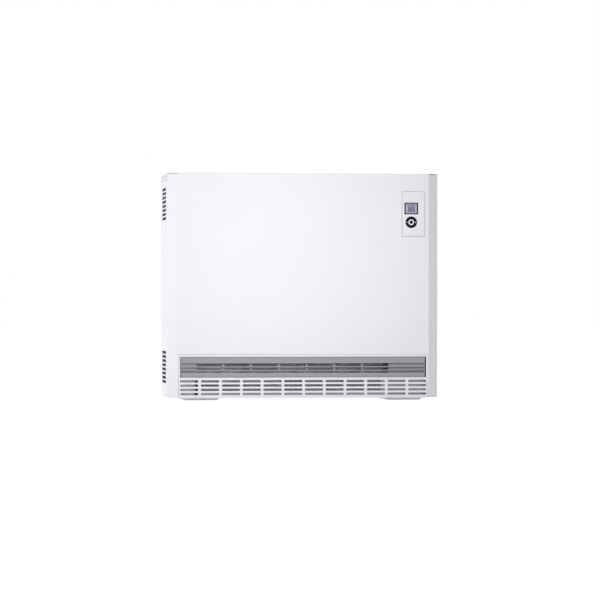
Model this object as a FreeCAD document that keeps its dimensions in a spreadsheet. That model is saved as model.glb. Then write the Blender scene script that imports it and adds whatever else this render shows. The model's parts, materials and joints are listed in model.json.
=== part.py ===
import FreeCAD, Part
import math
import os
import re
import Sketcher
from FreeCAD import Placement, Rotation, Vector

# A floor-standing storage heater with an insulated brick core, a fan and a service flap.
# Frame: X to the right seen from the room, Y from the room to the wall, Z up.
# The origin is on the floor, under the middle of the box that holds the heater and its wall spacers.

SIZES = [
    # casing
    ("body_width", 780, "casing, side to side"),
    ("body_height", 650, "floor to top of lid"),
    ("body_depth", 250, "front face to rear face"),
    ("wall_gap", 25, "rear face to wall"),
    ("foot_height", 7, "floor to casing"),
    ("panel_thickness", 1.2, "painted outer sheet"),
    ("bevel_width", 28, "slanted front edge, seen from the front"),
    ("bevel_depth", 18, "slanted front edge, front to back"),
    ("bend_radius", 0.9, "rounding of a right-angled fold"),
    ("bevel_round", 3, "rounding of the slanted edges' folds"),
    ("return_depth", 10, "front panel's fold along the side"),
    ("seam", 0.5, "gap between outer panels"),
    ("fit_gap", 0.3, "assembly clearance"),
    ("lid_gap", 1.2, "open gap under the lid above each slanted edge"),
    ("top_fold", 14, "front panel's fold over the top"),
    ("lid_flange", 5, "lid's side flange"),
    ("lid_rear_flange", 15, "lid's rear flange"),
    ("side_flange", 14, "side panel's inward flanges"),
    ("bead_drop", 9.8, "lid to the upper pressed bead"),
    ("bead_pitch", 8.7, "two pressed beads under the lid"),
    ("bead_depth", 0.9, "depth of a pressed bead"),
    ("bead_height", 2.4, "height of a pressed bead"),
    # side vents
    ("vent_length", 140, "side vent, front to back"),
    ("vent_height", 8, "side vent"),
    ("vent_pitch", 12, "side vent spacing"),
    ("vent_rows", 8, "vents in each group"),
    ("vent_drop", 44, "lid's top to the highest vent"),
    ("vent_rise", 45.5, "casing's bottom to the lowest vent"),
    ("vent_rear", 48, "rear face to the vents' rear end"),
    # lower service panel
    ("notch_margin", 2.5, "flat front to the lower opening's side"),
    ("notch_lip", 6, "front panel's fold above the lower opening"),
    ("lower_zone", 125, "casing's bottom to the lower opening's top"),
    ("panel_drop", 0.2, "service panel below the casing's bottom edge"),
    ("panel_fold", 11, "service panel's side folds"),
    ("panel_top_fold", 7, "service panel's top fold"),
    ("panel_lip", 6, "service panel's bottom fold"),
    ("window_side", 4.6, "service panel's frame beside the outlet"),
    ("window_top", 6.5, "service panel's frame above the outlet"),
    ("window_sill", 10.5, "highest slots' middle to the outlet window"),
    ("slot_margin", 3, "least sheet beside the intake slots"),
    ("slot_length", 52.7, "intake slot"),
    ("slot_height", 6.6, "intake slot"),
    ("slot_rows", 4, "rows of intake slots"),
    ("slot_pitch_x", 59.7, "intake slot spacing, sideways"),
    ("slot_pitch_z", 12.1, "intake slot spacing, upwards"),
    ("slot_base", 11.9, "panel's bottom edge to the lowest slot's centre"),
    ("pin_radius", 2.0, "service panel's hinge pins"),
    ("pin_play", 0.05, "running clearance on a radius"),
    ("pin_length", 3.5, "hinge pin past the panel's side"),
    ("hinge_back", 5, "front face to hinge axis"),
    ("hinge_rise", 2, "casing's bottom to hinge axis"),
    ("ear_thickness", 1.5, "hinge ear"),
    # outlet grille
    ("grille_recess", 4.6, "front face to outlet grille"),
    ("grille_end_gap", 3, "window's side to outlet grille"),
    ("grille_sheet", 1.0, "outlet grille's sheet"),
    ("grille_fold", 14, "outlet grille's side and bottom folds"),
    ("upper_band", 18, "plain band above the louvres"),
    ("louvre_depth", 9.5, "front of a louvre to its root"),
    ("louvre_toe", 0.5, "front of a louvre to its toe"),
    ("upper_louvre", 11.9, "upper louvre, upwards"),
    ("middle_louvre", 10.3, "middle louvre, upwards"),
    ("lower_louvre", 6.7, "lower louvre, upwards"),
    ("pierce_width", 73, "one pierced opening, sideways"),
    ("pierce_pitch", 80, "pierced opening spacing"),
    ("pierce_margin", 2, "least sheet from support wall to a pierced opening"),
    ("upper_pierce", 9, "upper row's openings, upwards"),
    ("middle_pierce", 7.8, "middle row's openings, upwards"),
    ("lower_pierce", 6, "lower row's openings, upwards"),
    ("crease_drop", 10, "outlet grille's top to its pressed line"),
    ("crease_height", 0.8, "pressed line, upwards"),
    ("crease_depth", 0.3, "pressed line, front to back"),
    ("grille_screw_inset", 75.4, "outlet grille's right end to its screw"),
    ("grille_screw_drop", 12, "outlet grille's top to its screw"),
    # frame
    ("tray_thickness", 1.5, "base tray's sheet"),
    ("ear_height", 8, "hinge ear, upwards"),
    ("floor_access_radius", 8, "tray's hole above a floor screw"),
    ("sole_width", 12, "support wall's sole on the tray"),
    ("foot_screw_shift", 34, "foot's middle to its screws"),
    ("foot_screw_pitch", 80, "foot's screws, front to back"),
    ("tray_front", 14, "front face to base tray"),
    ("tray_flange", 16, "base tray's upturned flanges"),
    ("blank_height", 50, "base tray's blanks behind the outer intake slots"),
    ("blank_margin", 4, "lower opening's side to the blanks"),
    ("shelf_thickness", 2, "core shelf"),
    ("shelf_drop", 3, "core shelf above the lower opening"),
    ("support_sheet", 1.5, "support walls' sheet"),
    ("support_margin", 18.5, "core's side to support wall"),
    ("divider_sheet", 1.2, "air divider's sheet"),
    ("divider_offset", 25, "core's middle to the divider's upright"),
    # feet
    ("foot_inset", 97, "casing's side to a foot's middle"),
    ("foot_width", 106, "foot's upper edge, sideways"),
    ("foot_depth", 180, "foot, front to back"),
    ("foot_setback", 26, "front face to foot"),
    ("foot_slope", 7, "foot's flanks, drawn in toward the floor"),
    ("foot_sheet", 2, "foot's sheet"),
    ("foot_lip", 8, "foot's lips along the floor"),
    ("floor_hole_radius", 3.3, "floor screw hole"),
    ("floor_hole_pitch", 130, "floor screw holes, front to back"),
    # wall side
    ("spacer_inset", 90, "casing's side to a wall spacer"),
    ("spacer_drop", 38, "lid's top to the upper spacers"),
    ("spacer_rise", 73, "casing's bottom to the lower spacers"),
    ("spacer_radius", 11, "wall spacer at the wall"),
    ("spacer_neck", 8, "wall spacer at the casing"),
    ("wall_hole_radius", 3.5, "wall screw hole"),
    ("rear_screw_margin", 7, "casing's side to the rear screws"),
    ("high_screw_drop", 50, "lid's top to the rear panel's upper screws"),
    ("low_screw_rise", 53, "casing's bottom to the rear panel's lower screws"),
    ("lid_screw_drop", 9, "lid's top to its rear screws"),
    ("gland_radius", 9, "cable gland's thread"),
    ("gland_bore", 6, "cable gland's bore"),
    ("gland_inset", 50, "casing's right side to the cable gland"),
    ("gland_rise", 88, "casing's bottom to the cable gland"),
    # core
    ("core_shift", -30, "core's middle from the casing's middle"),
    ("side_gap", 27.1, "left side panel to the insulated box"),
    ("brick_depth", 165, "brick, front to back"),
    ("brick_rows", 7, "bricks in a column"),
    ("brick_gap", 0.3, "joint between bricks"),
    ("channel_width", 62, "air channel in a brick, sideways"),
    ("channel_depth", 13, "air channel in a brick, front to back"),
    ("channel_offset", 60, "core's middle to a row of channels"),
    ("core_play", 1.0, "bricks' side to jacket"),
    ("core_slack", 0.4, "bricks' face to jacket"),
    ("turn_gap", 14, "air space above the bricks"),
    ("jacket_sheet", 1.0, "core jacket"),
    ("base_insulation", 28, "insulation under the core"),
    ("front_insulation", 32, "insulation before the core"),
    ("left_insulation", 66, "insulation on the left"),
    ("right_insulation", 48, "insulation on the right"),
    ("top_insulation", 44.8, "insulation above the core"),
    ("inner_wall", 0.8, "front inner wall's sheet"),
    ("side_wall", 1.2, "inner side walls' sheet"),
    ("air_gap", 7, "front panel to inner wall"),
    ("top_air_gap", 4, "top insulation to lid"),
    # heating elements
    ("element_radius", 4, "heating element's tube"),
    ("element_bend", 25, "heating element's bend"),
    ("element_play", 1, "tube to groove"),
    ("element_inset", 42, "core's left side to the bend's centre"),
    ("element_reach", 23, "tube past the partition"),
    ("stud_radius", 2, "element's terminal stud"),
    ("stud_length", 10, "element's terminal stud"),
    ("bush_radius", 7, "ceramic bush"),
    ("bush_reach", 17, "ceramic bush past the partition"),
    # fan
    ("filter_left_gap", 6.8, "left support wall to the lint filter"),
    ("filter_right_gap", 1.5, "lint filter to the right support wall"),
    ("filter_rise", 8.2, "service panel's bottom to lint filter"),
    ("filter_height", 49.5, "lint filter"),
    ("filter_border", 6.3, "lint filter's frame"),
    ("filter_grip", 26.6, "lint filter's wide right end, to pull it out by"),
    ("filter_rib", 2.2, "upright rib of the lint filter's frame"),
    ("filter_windows", 39, "openings in the lint filter's frame"),
    ("filter_frame", 2, "lint filter's frame, front to back"),
    ("filter_mesh", 0.4, "lint filter's mesh"),
    ("fan_radius", 21, "fan wheel"),
    ("fan_back", 62, "front face to fan axis"),
    ("fan_side_room", 19, "support wall to fan wheel"),
    ("fan_hub_gap", 34, "fan's middle to a wheel"),
    ("blade_count", 20, "blades on a wheel"),
    ("blade_chord", 5.5, "blade, radially"),
    ("blade_thickness", 0.9, "blade"),
    ("disc_thickness", 2, "fan wheel's discs"),
    ("shaft_radius", 3, "fan shaft"),
    ("fan_tray_sheet", 1.0, "fan tray's sheet"),
    ("cheek_gap", 5, "fan wheel to cheek"),
    ("scroll_gap", 2.5, "fan wheel to scroll guide"),
    ("scroll_sheet", 0.8, "scroll guide's sheet"),
    ("scroll_tail", 14, "scroll guide's straight run to the rear"),
    ("stator_size", 44, "motor stator, square"),
    ("stator_length", 20, "motor stator, along the shaft"),
    ("stator_bore", 12, "motor stator's bore"),
    ("air_clearance", 0.5, "stator to rotor"),
    ("bracket_room", 3, "stator to end bracket"),
    ("bracket_sheet", 4, "motor end brackets"),
    ("bracket_post", 4, "stator's corner to its bolts"),
    ("coil_room", 16, "stator's window"),
    ("coil_leg", 8, "stator's leg in the coil"),
    ("coil_half", 13, "half the stator's window, upwards"),
    ("coil_wall", 6, "coil's winding"),
    ("scroll_open", 4, "fan axis to the scroll guide's edges"),
    ("bearing_radius", 6.5, "shaft bearing"),
    ("bearing_length", 6, "shaft bearing"),
    # mixing flap
    ("flap_drop", 13, "shelf to flap axis"),
    ("flap_length", 50, "flap below its axis"),
    ("flap_margin", 95, "support wall to the flap's end"),
    ("flap_sheet", 1.2, "flap's sheet"),
    ("flap_barrel", 3, "flap's rolled edge"),
    ("flap_pin", 2, "flap's pins"),
    ("bypass_margin", 12, "flap past the bypass window's side"),
    ("bypass_height", 36, "bypass window"),
    ("flap_lap", 6, "flap below the bypass window"),
    ("flap_ear", 6, "flap's ear around its pin"),
    ("coil_width", 6, "bimetal strip's width"),
    ("coil_strip", 0.8, "bimetal strip's thickness"),
    ("coil_pitch", 2.4, "bimetal spiral, turn to turn"),
    ("coil_turns", 3, "bimetal spiral's turns"),
    # switch compartment
    ("plate_standoff", 5, "partition to switch plate"),
    ("plate_sheet", 1.5, "switch plate's sheet"),
    ("board_thickness", 1.6, "circuit board"),
    ("board_standoff", 9, "switch plate to board"),
    ("board_width", 160, "circuit board, front to back"),
    ("board_height", 80, "circuit board, upwards"),
    ("part_gap", 8, "space between parts on the board"),
    ("transformer_width", 34, "transformer, front to back"),
    ("transformer_height", 30, "transformer, upwards"),
    ("transformer_depth", 26, "transformer, off the board"),
    ("relay_width", 16, "relay, front to back and off the board"),
    ("relay_height", 28, "relay, upwards"),
    ("plug_height", 9, "plug row, upwards"),
    ("plug_length", 60, "plug row, front to back"),
    ("plug_depth", 12, "plug row, off the board"),
    ("capacitor_radius", 8, "capacitor"),
    ("capacitor_length", 20, "capacitor, off the board"),
    ("plate_width", 190, "switch plate, front to back"),
    ("plate_low", 30, "core's bottom to switch plate"),
    ("plate_height", 330, "switch plate, upwards"),
    ("standoff_radius", 4, "switch plate's and board's standoffs"),
    ("standoff_inset", 8, "plate's edge to its standoffs"),
    ("terminal_pitch", 11, "terminal to terminal"),
    ("terminal_count", 5, "terminals"),
    ("terminal_height", 24, "terminal block, upwards"),
    ("terminal_depth", 20, "terminal block, off the plate"),
    ("terminal_shift", 45, "core's middle to the terminal block"),
    ("cutout_radius", 12, "safety cutout"),
    ("cutout_depth", 12, "safety cutout, off the plate"),
    ("cutout_gap", 31, "terminal block to the safety cutout"),
    ("button_radius", 3, "reset button"),
    ("button_length", 11, "reset button"),
    ("button_travel", 2, "reset button"),
    # control unit
    ("sensor_radius", 3, "core sensor's tube"),
    ("sensor_rise", 210, "core's bottom to the core sensor"),
    ("sensor_reach", 26, "core sensor past the partition"),
    ("control_inset", 72.5, "casing's right side to control panel's middle"),
    ("control_drop", 116, "lid's top to control panel's middle"),
    ("control_width", 64, "control panel"),
    ("control_height", 128, "control panel"),
    ("control_gap", 1.2, "front panel to control panel"),
    ("control_rim", 3, "control panel's rim behind the sheet"),
    ("control_sink", 0.3, "control panel below the front face"),
    ("control_plate", 2.4, "control panel's thickness"),
    ("key_shift", -6, "control panel's middle to display and keys"),
    ("display_width", 39.4, "display window"),
    ("display_height", 33.5, "display window"),
    ("display_rise", 16.3, "control panel's middle to display"),
    ("lens_thickness", 1.4, "display window"),
    ("ring_radius", 16.5, "rocker ring"),
    ("ring_hole", 9, "rocker ring's hole"),
    ("ring_drop", 23.3, "control panel's middle to ring"),
    ("ring_thickness", 3, "rocker ring"),
    ("ring_play", 0.4, "ring to control panel"),
    ("key_radius", 8.3, "centre key"),
    ("key_length", 4.2, "centre key"),
    ("key_travel", 0.8, "centre key"),
    ("stem_radius", 3, "centre key's stem"),
    ("stem_length", 11, "centre key's stem"),
    ("boss_wall", 2, "housing's boss around the stem"),
    ("ring_pin", 1, "rocker ring's pivot pins"),
    ("pivot_block", 3, "housing's pivot blocks, upwards"),
    ("module_margin", 1, "display board past the window"),
    ("glass_thickness", 2.6, "liquid crystal cell"),
    ("seam_play", 0.1, "lens to its opening"),
    ("housing_depth", 22, "control housing"),
    ("housing_wall", 1.6, "control housing's wall"),
    # fasteners
    ("screw_head", 3.4, "casing screw's head radius"),
    ("screw_head_height", 2.0, "casing screw's head"),
    ("screw_shank", 1.7, "casing screw's shank radius"),
    ("screw_length", 8, "casing screw's shank"),
    ("catch_inset", 159, "service panel's side to a panel catch"),
    ("catch_width", 16, "panel catch, sideways"),
    ("catch_sheet", 1, "panel catch's sheet"),
    ("catch_leg", 4, "panel catch's leg, upwards"),
    ("catch_gap", 0.5, "panel's fold to the catch"),
    ("catch_finger", 4.5, "panel catch, front to back"),
    ("gland_flange", 4, "cable gland's nut and collar, past its thread and along it"),
    ("gland_inside", 7.5, "cable gland behind the rear panel's sheet"),
    ("gland_outside", 12, "cable gland past the rear face"),
]

LAYOUT = {
    "front": "-(body_depth + wall_gap) / 2",
    "back": "front + body_depth",
    "rear_face": "back - panel_thickness",
    "rear_inner": "rear_face - panel_thickness",
    "half_width": "body_width / 2",
    "inner_half": "half_width - panel_thickness - fit_gap",
    "flat_half": "half_width - bevel_width",
    "return_front": "front + bevel_depth",
    "return_back": "return_front + return_depth",
    "bevel_slope": "bevel_depth / bevel_width",
    "front_mitre": "tan(atan(bevel_slope) / 2)",
    "side_mitre": "tan(45deg - atan(bevel_slope) / 2)",
    "bevel_top": "body_height - panel_thickness - lid_gap",
    "lid_bottom": "body_height - panel_thickness",
    "side_top": "body_height - lid_flange - seam",
    "rear_flange_top": "body_height - lid_rear_flange - seam",
    "tray_top": "foot_height + tray_thickness",
    # vents, screws, feet and wall spacers
    "upper_vent": "body_height - vent_drop",
    "lower_vent": "foot_height + vent_rise",
    "rear_screw_x": "half_width - rear_screw_margin",
    "lid_screw_z": "body_height - lid_screw_drop",
    "high_screw_z": "body_height - high_screw_drop",
    "low_screw_z": "foot_height + low_screw_rise",
    "mid_screw_z": "(high_screw_z + low_screw_z) / 2",
    "foot_x": "half_width - foot_inset",
    "spacer_x": "half_width - spacer_inset",
    "spacer_high": "body_height - spacer_drop",
    "spacer_low": "foot_height + spacer_rise",
    "gland_x": "half_width - gland_inset",
    "gland_z": "foot_height + gland_rise",
    # lower opening and service panel
    "notch_half": "flat_half - notch_margin",
    "notch_top": "foot_height + lower_zone",
    "panel_half": "notch_half - seam",
    "panel_bottom": "foot_height - panel_drop",
    "panel_top": "notch_top - seam",
    "window_half": "panel_half - window_side",
    "window_high": "panel_top - window_top",
    "slot_columns": "floor((2 * (panel_half - slot_margin) + slot_pitch_x - slot_length) / slot_pitch_x)",
    "window_low": "panel_bottom + slot_base + (slot_rows - 1) * slot_pitch_z + window_sill",
    "hinge_y": "front + hinge_back",
    "hinge_z": "foot_height + hinge_rise",
    "ear_inner": "panel_half + 3 * fit_gap",
    # outlet grille
    "grille_half": "window_half - grille_end_gap",
    "grille_top": "window_high - seam",
    "grille_bottom": "window_low + seam",
    "grille_front": "front + grille_recess",
    "grille_top_back": "inner_wall_front - fit_gap",
    "band_bottom": "grille_top - upper_band",
    "grille_screw_x": "grille_half - grille_screw_inset",
    "grille_screw_z": "grille_top - grille_screw_drop",
    "pierce_columns": "floor((fan_right - fan_left - 2 * pierce_margin"
                      " + pierce_pitch - pierce_width) / pierce_pitch)",
    "catch_x": "panel_half - catch_inset",
    # frame
    "tray_edge": "front + tray_front",
    "support_sole_front": "fan_y + fan_radius + scroll_tail",
    "support_rear": "rear_inner - 2 * fit_gap - tray_thickness",
    "shelf_bottom": "notch_top + shelf_drop",
    "shelf_top": "shelf_bottom + shelf_thickness",
    "inner_wall_front": "front + panel_thickness + air_gap",
    "inner_wall_back": "inner_wall_front + inner_wall",
    "insulation_high": "lid_bottom - top_air_gap",
    # core: the bricks take the room that the casing and the insulation leave
    "wall_left": "-half_width + panel_thickness + side_gap + side_wall",
    "jacket_left": "wall_left + left_insulation",
    "core_half": "core_shift - jacket_left - jacket_sheet - core_play",
    "brick_width": "core_half * 2 / 3",
    "jacket_top": "insulation_high - top_insulation",
    "brick_height": "(jacket_top - jacket_sheet - turn_gap - core_bottom) / brick_rows",
    "core_left": "core_shift - core_half",
    "core_right": "core_shift + core_half",
    "core_bottom": "shelf_top + base_insulation",
    "core_top": "core_bottom + brick_rows * brick_height",
    "bend_x": "core_left + element_inset",
    "element_end": "partition_face + element_reach",
    "sensor_z": "core_bottom + sensor_rise",
    "jacket_front": "inner_wall_back + front_insulation",
    "brick_front": "jacket_front + jacket_sheet + core_slack",
    "brick_back": "brick_front + brick_depth",
    "jacket_back": "brick_back + core_slack + jacket_sheet",
    "core_y": "(brick_front + brick_back) / 2",
    "jacket_right": "core_right + core_play + jacket_sheet",
    "partition": "jacket_right + right_insulation",
    "partition_face": "partition + side_wall",
    "support_front": "grille_front + grille_fold + fit_gap",
    "fan_left": "core_left - support_margin",
    "fan_right": "core_right + support_margin",
    "divider_y": "core_y + divider_offset",
    "divider_top": "grille_bottom - fit_gap",
    "divider_bottom": "divider_top - divider_sheet",
    # fan
    "fan_y": "front + fan_back",
    "fan_z": "(tray_top + divider_bottom) / 2",
    "fan_x": "(fan_left + fan_right) / 2",
    "fan_length": "fan_right - fan_x - fan_side_room - fan_hub_gap",
    "wheel_end": "fan_hub_gap + fan_length",
    "cheek_inner": "wheel_end + cheek_gap",
    "fan_tray_top": "tray_top + fan_tray_sheet",
    "bracket_gap": "stator_length / 2 + bracket_room",
    "bearing_bore": "shaft_radius + pin_play",
    # mixing flap
    "flap_left": "fan_left + flap_margin",
    "flap_right": "fan_right - flap_margin",
    "flap_z": "shelf_bottom - flap_drop",
    "flap_y": "divider_y - flap_barrel - 2 * fit_gap",
    "flap_foot": "flap_z - flap_length",
    "coil_left": "flap_left - 3 * fit_gap - ear_thickness - coil_width",
    "coil_reach": "flap_pin + 2 * fit_gap + coil_strip + coil_pitch * coil_turns",
    # switch compartment
    "plate_back": "partition_face + plate_standoff",
    "plate_face": "partition_face + plate_standoff + plate_sheet",
    "board_face": "plate_face + board_standoff",
    "board_low": "core_bottom + 1.25 * brick_height",
    "terminal_y": "core_y + terminal_shift",
    "terminal_low": "core_bottom + 3.25 * brick_height",
    "cutout_y": "terminal_y + cutout_radius",
    "cutout_z": "terminal_low + terminal_height + cutout_gap + cutout_radius",
    # control unit
    "control_x": "half_width - control_inset",
    "control_z": "body_height - control_drop",
    "key_x": "control_x + key_shift",
    "display_z": "control_z + display_rise",
    "ring_z": "control_z - ring_drop",
    "control_face": "front + control_sink",
    "control_back": "control_face + control_plate",
    "ring_pin_reach": "ring_radius + ring_play + pivot_block - fit_gap",
    "foot_front": "front + foot_setback",
    "foot_centre_y": "foot_front + foot_depth / 2",
}

# heights of the screws through the rear corners
REAR_SCREWS = ("lid_screw_z", "high_screw_z", "mid_screw_z", "low_screw_z")

SIZE_NAMES = {name for name, _, _ in SIZES}
PLANE_OF = {"xy": "XY_Plane", "xz": "XZ_Plane", "yz": "YZ_Plane"}
AXIS_TURN = {
    "x": Rotation(Vector(0, 1, 0), 90),
    "y": Rotation(Vector(1, 0, 0), -90),
    "z": Rotation(),
}

doc = FreeCAD.newDocument("StorageHeater")
sizes = doc.addObject("Spreadsheet::Sheet", "Sizes")
nodes = {}


# ---------------------------------------------------------------- sizes

def fill_sheet():
    """One row for each driving size: its name, its value in millimetres and what it is."""
    for row, (name, size, meaning) in enumerate(SIZES, start=1):
        sizes.set(f"A{row}", name)
        sizes.set(f"B{row}", str(size))
        sizes.set(f"C{row}", meaning)
        sizes.setAlias(f"B{row}", name)
    doc.recompute()


def bound(text):
    """The expression with sizes as their cells, and layout names written out."""
    def swap(match):
        name = match.group(0)
        if name in SIZE_NAMES:
            return "Sizes." + name
        if name in LAYOUT:
            return "(" + bound(LAYOUT[name]) + ")"
        return name
    return re.sub(r"[a-z][a-z0-9_]*", swap, str(text))


def value(text):
    """The number that an expression gives now."""
    result = sizes.evalExpression(bound(text))
    return float(getattr(result, "Value", result))


# ---------------------------------------------------------------- Part primitives

def place(thing, x, y, z, rotation=None):
    """Sets a thing's Placement, its position bound to expressions."""
    if rotation is not None:
        thing.Placement = Placement(Vector(), rotation)
    for axis, text in zip("xyz", (x, y, z)):
        thing.setExpression(f"Placement.Base.{axis}", bound(text))
    return thing


def box(name, x, y, z):
    """A block between two expressions along each axis."""
    block = doc.addObject("Part::Box", name)
    for side, (low, high) in zip(("Length", "Width", "Height"), (x, y, z)):
        block.setExpression(side, bound(f"({high}) - ({low})"))
    return place(block, x[0], y[0], z[0])


def rod(name, axis, start, radius, length):
    """A cylinder that runs from start along an axis."""
    bar = doc.addObject("Part::Cylinder", name)
    bar.setExpression("Radius", bound(radius))
    bar.setExpression("Height", bound(length))
    return place(bar, *start, AXIS_TURN[axis])


def cone(name, axis, start, radius_a, radius_b, length):
    """A cone's frustum that runs from start along an axis."""
    frustum = doc.addObject("Part::Cone", name)
    frustum.setExpression("Radius1", bound(radius_a))
    frustum.setExpression("Radius2", bound(radius_b))
    frustum.setExpression("Height", bound(length))
    return place(frustum, *start, AXIS_TURN[axis])


def fuse(name, *shapes):
    joined = doc.addObject("Part::MultiFuse", name)
    joined.Shapes = list(shapes)
    joined.Refine = True
    return joined


def group(name, *shapes):
    bunch = doc.addObject("Part::Compound", name)
    bunch.Links = list(shapes)
    return bunch


def cut(name, base, *tools):
    less = doc.addObject("Part::Cut", name)
    less.Base = base
    less.Tool = tools[0] if len(tools) == 1 else group(name + "_tools", *tools)
    less.Refine = True
    return less


def mirrored(name, source, x="0"):
    """A copy on the other side of the plane at x."""
    copy = doc.addObject("Part::Mirroring", name)
    copy.Source = source
    copy.Normal = Vector(1, 0, 0)
    copy.setExpression("Base.x", bound(x))
    return copy


# ---------------------------------------------------------------- PartDesign features

def new_body(name):
    return doc.addObject("PartDesign::Body", name)


def sketch_on(body, name, plane, level):
    """An empty sketch in one of the body's own planes, moved to a level along X, Y or Z."""
    sketch = body.newObject("Sketcher::SketchObject", name)
    support = [f for f in body.Origin.OriginFeatures if f.Role == PLANE_OF[plane]][0]
    sketch.AttachmentSupport = [(support, "")]
    sketch.MapMode = "FlatFace"
    sign = "-" if plane == "xz" else ""
    sketch.setExpression("AttachmentOffset.Base.z", bound(f"{sign}({level})"))
    return sketch


def pin_point(sketch, curve, end, u, v):
    """Holds a curve's end or centre at the expressions u and v."""
    for kind, text in (("DistanceX", u), ("DistanceY", v)):
        rule = Sketcher.Constraint(kind, -1, 1, curve, end, value(text))
        index = sketch.addConstraint(rule)
        sketch.setExpression(f"Constraints[{index}]", bound(text))


def draw_polygon(sketch, corners):
    """A closed outline of straight lines, each corner held by two bound distances."""
    spots = [Vector(value(u), value(v), 0) for u, v in corners]
    count = len(spots)
    lines = []
    for i in range(count):
        line = Part.LineSegment(spots[i], spots[(i + 1) % count])
        lines.append(sketch.addGeometry(line, False))
    for i in range(count):
        rule = Sketcher.Constraint("Coincident", lines[i], 2, lines[(i + 1) % count], 1)
        sketch.addConstraint(rule)
    for i, (u, v) in enumerate(corners):
        pin_point(sketch, lines[i], 1, u, v)


def draw_circle(sketch, u, v, radius):
    spot = Vector(value(u), value(v), 0)
    circle = sketch.addGeometry(Part.Circle(spot, Vector(0, 0, 1), value(radius)), False)
    pin_point(sketch, circle, 3, u, v)
    index = sketch.addConstraint(Sketcher.Constraint("Radius", circle, value(radius)))
    sketch.setExpression(f"Constraints[{index}]", bound(radius))


def draw_slot(sketch, u, v, length, height):
    """A slot with round ends along the sketch's horizontal axis, about the point u, v."""
    half, radius = f"({length} - {height}) / 2", f"({height}) / 2"
    cu, cv, reach, r = value(u), value(v), value(half), value(radius)
    up, quarter = Vector(0, 0, 1), math.pi / 2
    left, right = Vector(cu - reach, cv, 0), Vector(cu + reach, cv, 0)
    down = Vector(0, -r, 0)
    low = sketch.addGeometry(Part.LineSegment(left + down, right + down), False)
    east = sketch.addGeometry(
        Part.ArcOfCircle(Part.Circle(right, up, r), -quarter, quarter), False)
    high = sketch.addGeometry(Part.LineSegment(right - down, left - down), False)
    west = sketch.addGeometry(
        Part.ArcOfCircle(Part.Circle(left, up, r), quarter, 3 * quarter), False)
    for a, b in ((low, east), (east, high), (high, west), (west, low)):
        sketch.addConstraint(Sketcher.Constraint("Tangent", a, 2, b, 1))
    sketch.addConstraint(Sketcher.Constraint("Horizontal", low))
    pin_point(sketch, west, 3, f"{u} - {half}", v)
    index = sketch.addConstraint(
        Sketcher.Constraint("DistanceX", west, 3, east, 3, 2 * reach))
    sketch.setExpression(f"Constraints[{index}]", bound(f"2 * ({half})"))
    index = sketch.addConstraint(Sketcher.Constraint("Radius", east, r))
    sketch.setExpression(f"Constraints[{index}]", bound(radius))


def pad(body, name, plane, level, far, draw, *outline):
    """Adds the drawn outline, from one level to another along the plane's axis."""
    start = far if plane == "xz" else level
    sketch = sketch_on(body, name + "_outline", plane, start)
    draw(sketch, *outline)
    feature = body.newObject("PartDesign::Pad", name)
    feature.Profile = sketch
    feature.setExpression("Length", bound(f"({far}) - ({level})"))
    sketch.Visibility = False
    doc.recompute()
    return feature


def pocket(body, name, plane, level, far, draw, *outline):
    """Takes the drawn outline away, from one level to another along the plane's axis."""
    start = far if plane == "xz" else level
    sketch = sketch_on(body, name + "_outline", plane, start)
    draw(sketch, *outline)
    before = body.Shape.Volume
    feature = body.newObject("PartDesign::Pocket", name)
    feature.Profile = sketch
    feature.Reversed = True
    feature.setExpression("Length", bound(f"({far}) - ({level})"))
    doc.recompute()
    if body.Shape.Volume > before - 1e-6:
        raise RuntimeError(f"{name} takes nothing away")
    return feature


def row(body, feature, direction, count, pitch, second=None):
    """Repeats a feature in a straight row, or in a grid when a second row is given."""
    pattern = body.newObject("PartDesign::LinearPattern", feature.Name + "_row")
    pattern.Originals = [feature]
    sketch = feature.Profile[0]
    pattern.Direction = (sketch, [direction])
    pattern.Mode = "Spacing"
    pattern.setExpression("Offset", bound(pitch))
    pattern.setExpression("Occurrences", bound(count))
    if second:
        pattern.Direction2 = (sketch, [second[0]])
        pattern.Mode2 = "Spacing"
        pattern.setExpression("Occurrences2", bound(second[1]))
        pattern.setExpression("Offset2", bound(second[2]))
        doc.recompute()
        pattern.Spacings2 = [-1.0] * (pattern.Occurrences2 - 1)
    body.Tip = pattern
    doc.recompute()
    return pattern


def round_edges(body, name, radius, chosen):
    """Fillets the edges of the body that the test picks."""
    tip = body.Tip
    picked = [f"Edge{i}" for i, e in enumerate(tip.Shape.Edges, start=1) if chosen(e)]
    feature = body.newObject("PartDesign::Fillet", name)
    feature.Base = (tip, picked)
    feature.setExpression("Radius", bound(radius))
    doc.recompute()
    return feature


def rectangle(u, v):
    """The four corners between two expressions along each sketch axis."""
    return [(u[0], v[0]), (u[1], v[0]), (u[1], v[1]), (u[0], v[1])]


def node(name, thing):
    """Registers a finished sub-part under the name that its file gets."""
    thing.Label = name
    nodes[name] = thing
    return thing


def add_block(body, name, x, y, z):
    """Pads a rectangular block onto the body."""
    return pad(body, name, "xy", z[0], z[1], draw_polygon, rectangle(x, y))


def cut_block(body, name, x, y, z):
    """Takes a rectangular block from the body."""
    return pocket(body, name, "xy", z[0], z[1], draw_polygon, rectangle(x, y))


def both(half):
    """From minus to plus a half width."""
    return f"-({half})", f"{half}"


def around(middle, half):
    """From below to above a middle."""
    return f"({middle}) - ({half})", f"({middle}) + ({half})"


def on_line(edge, along, **level):
    """Whether an edge lies at the levels of two axes and runs along the third."""
    ends = [vertex.Point for vertex in edge.Vertexes]
    flat = all(abs(getattr(end, axis) - at) < 1e-4 for end in ends for axis, at in level.items())
    return len(ends) == 2 and flat and abs(getattr(ends[0] - ends[1], along)) > 1


# ---------------------------------------------------------------- casing

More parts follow.
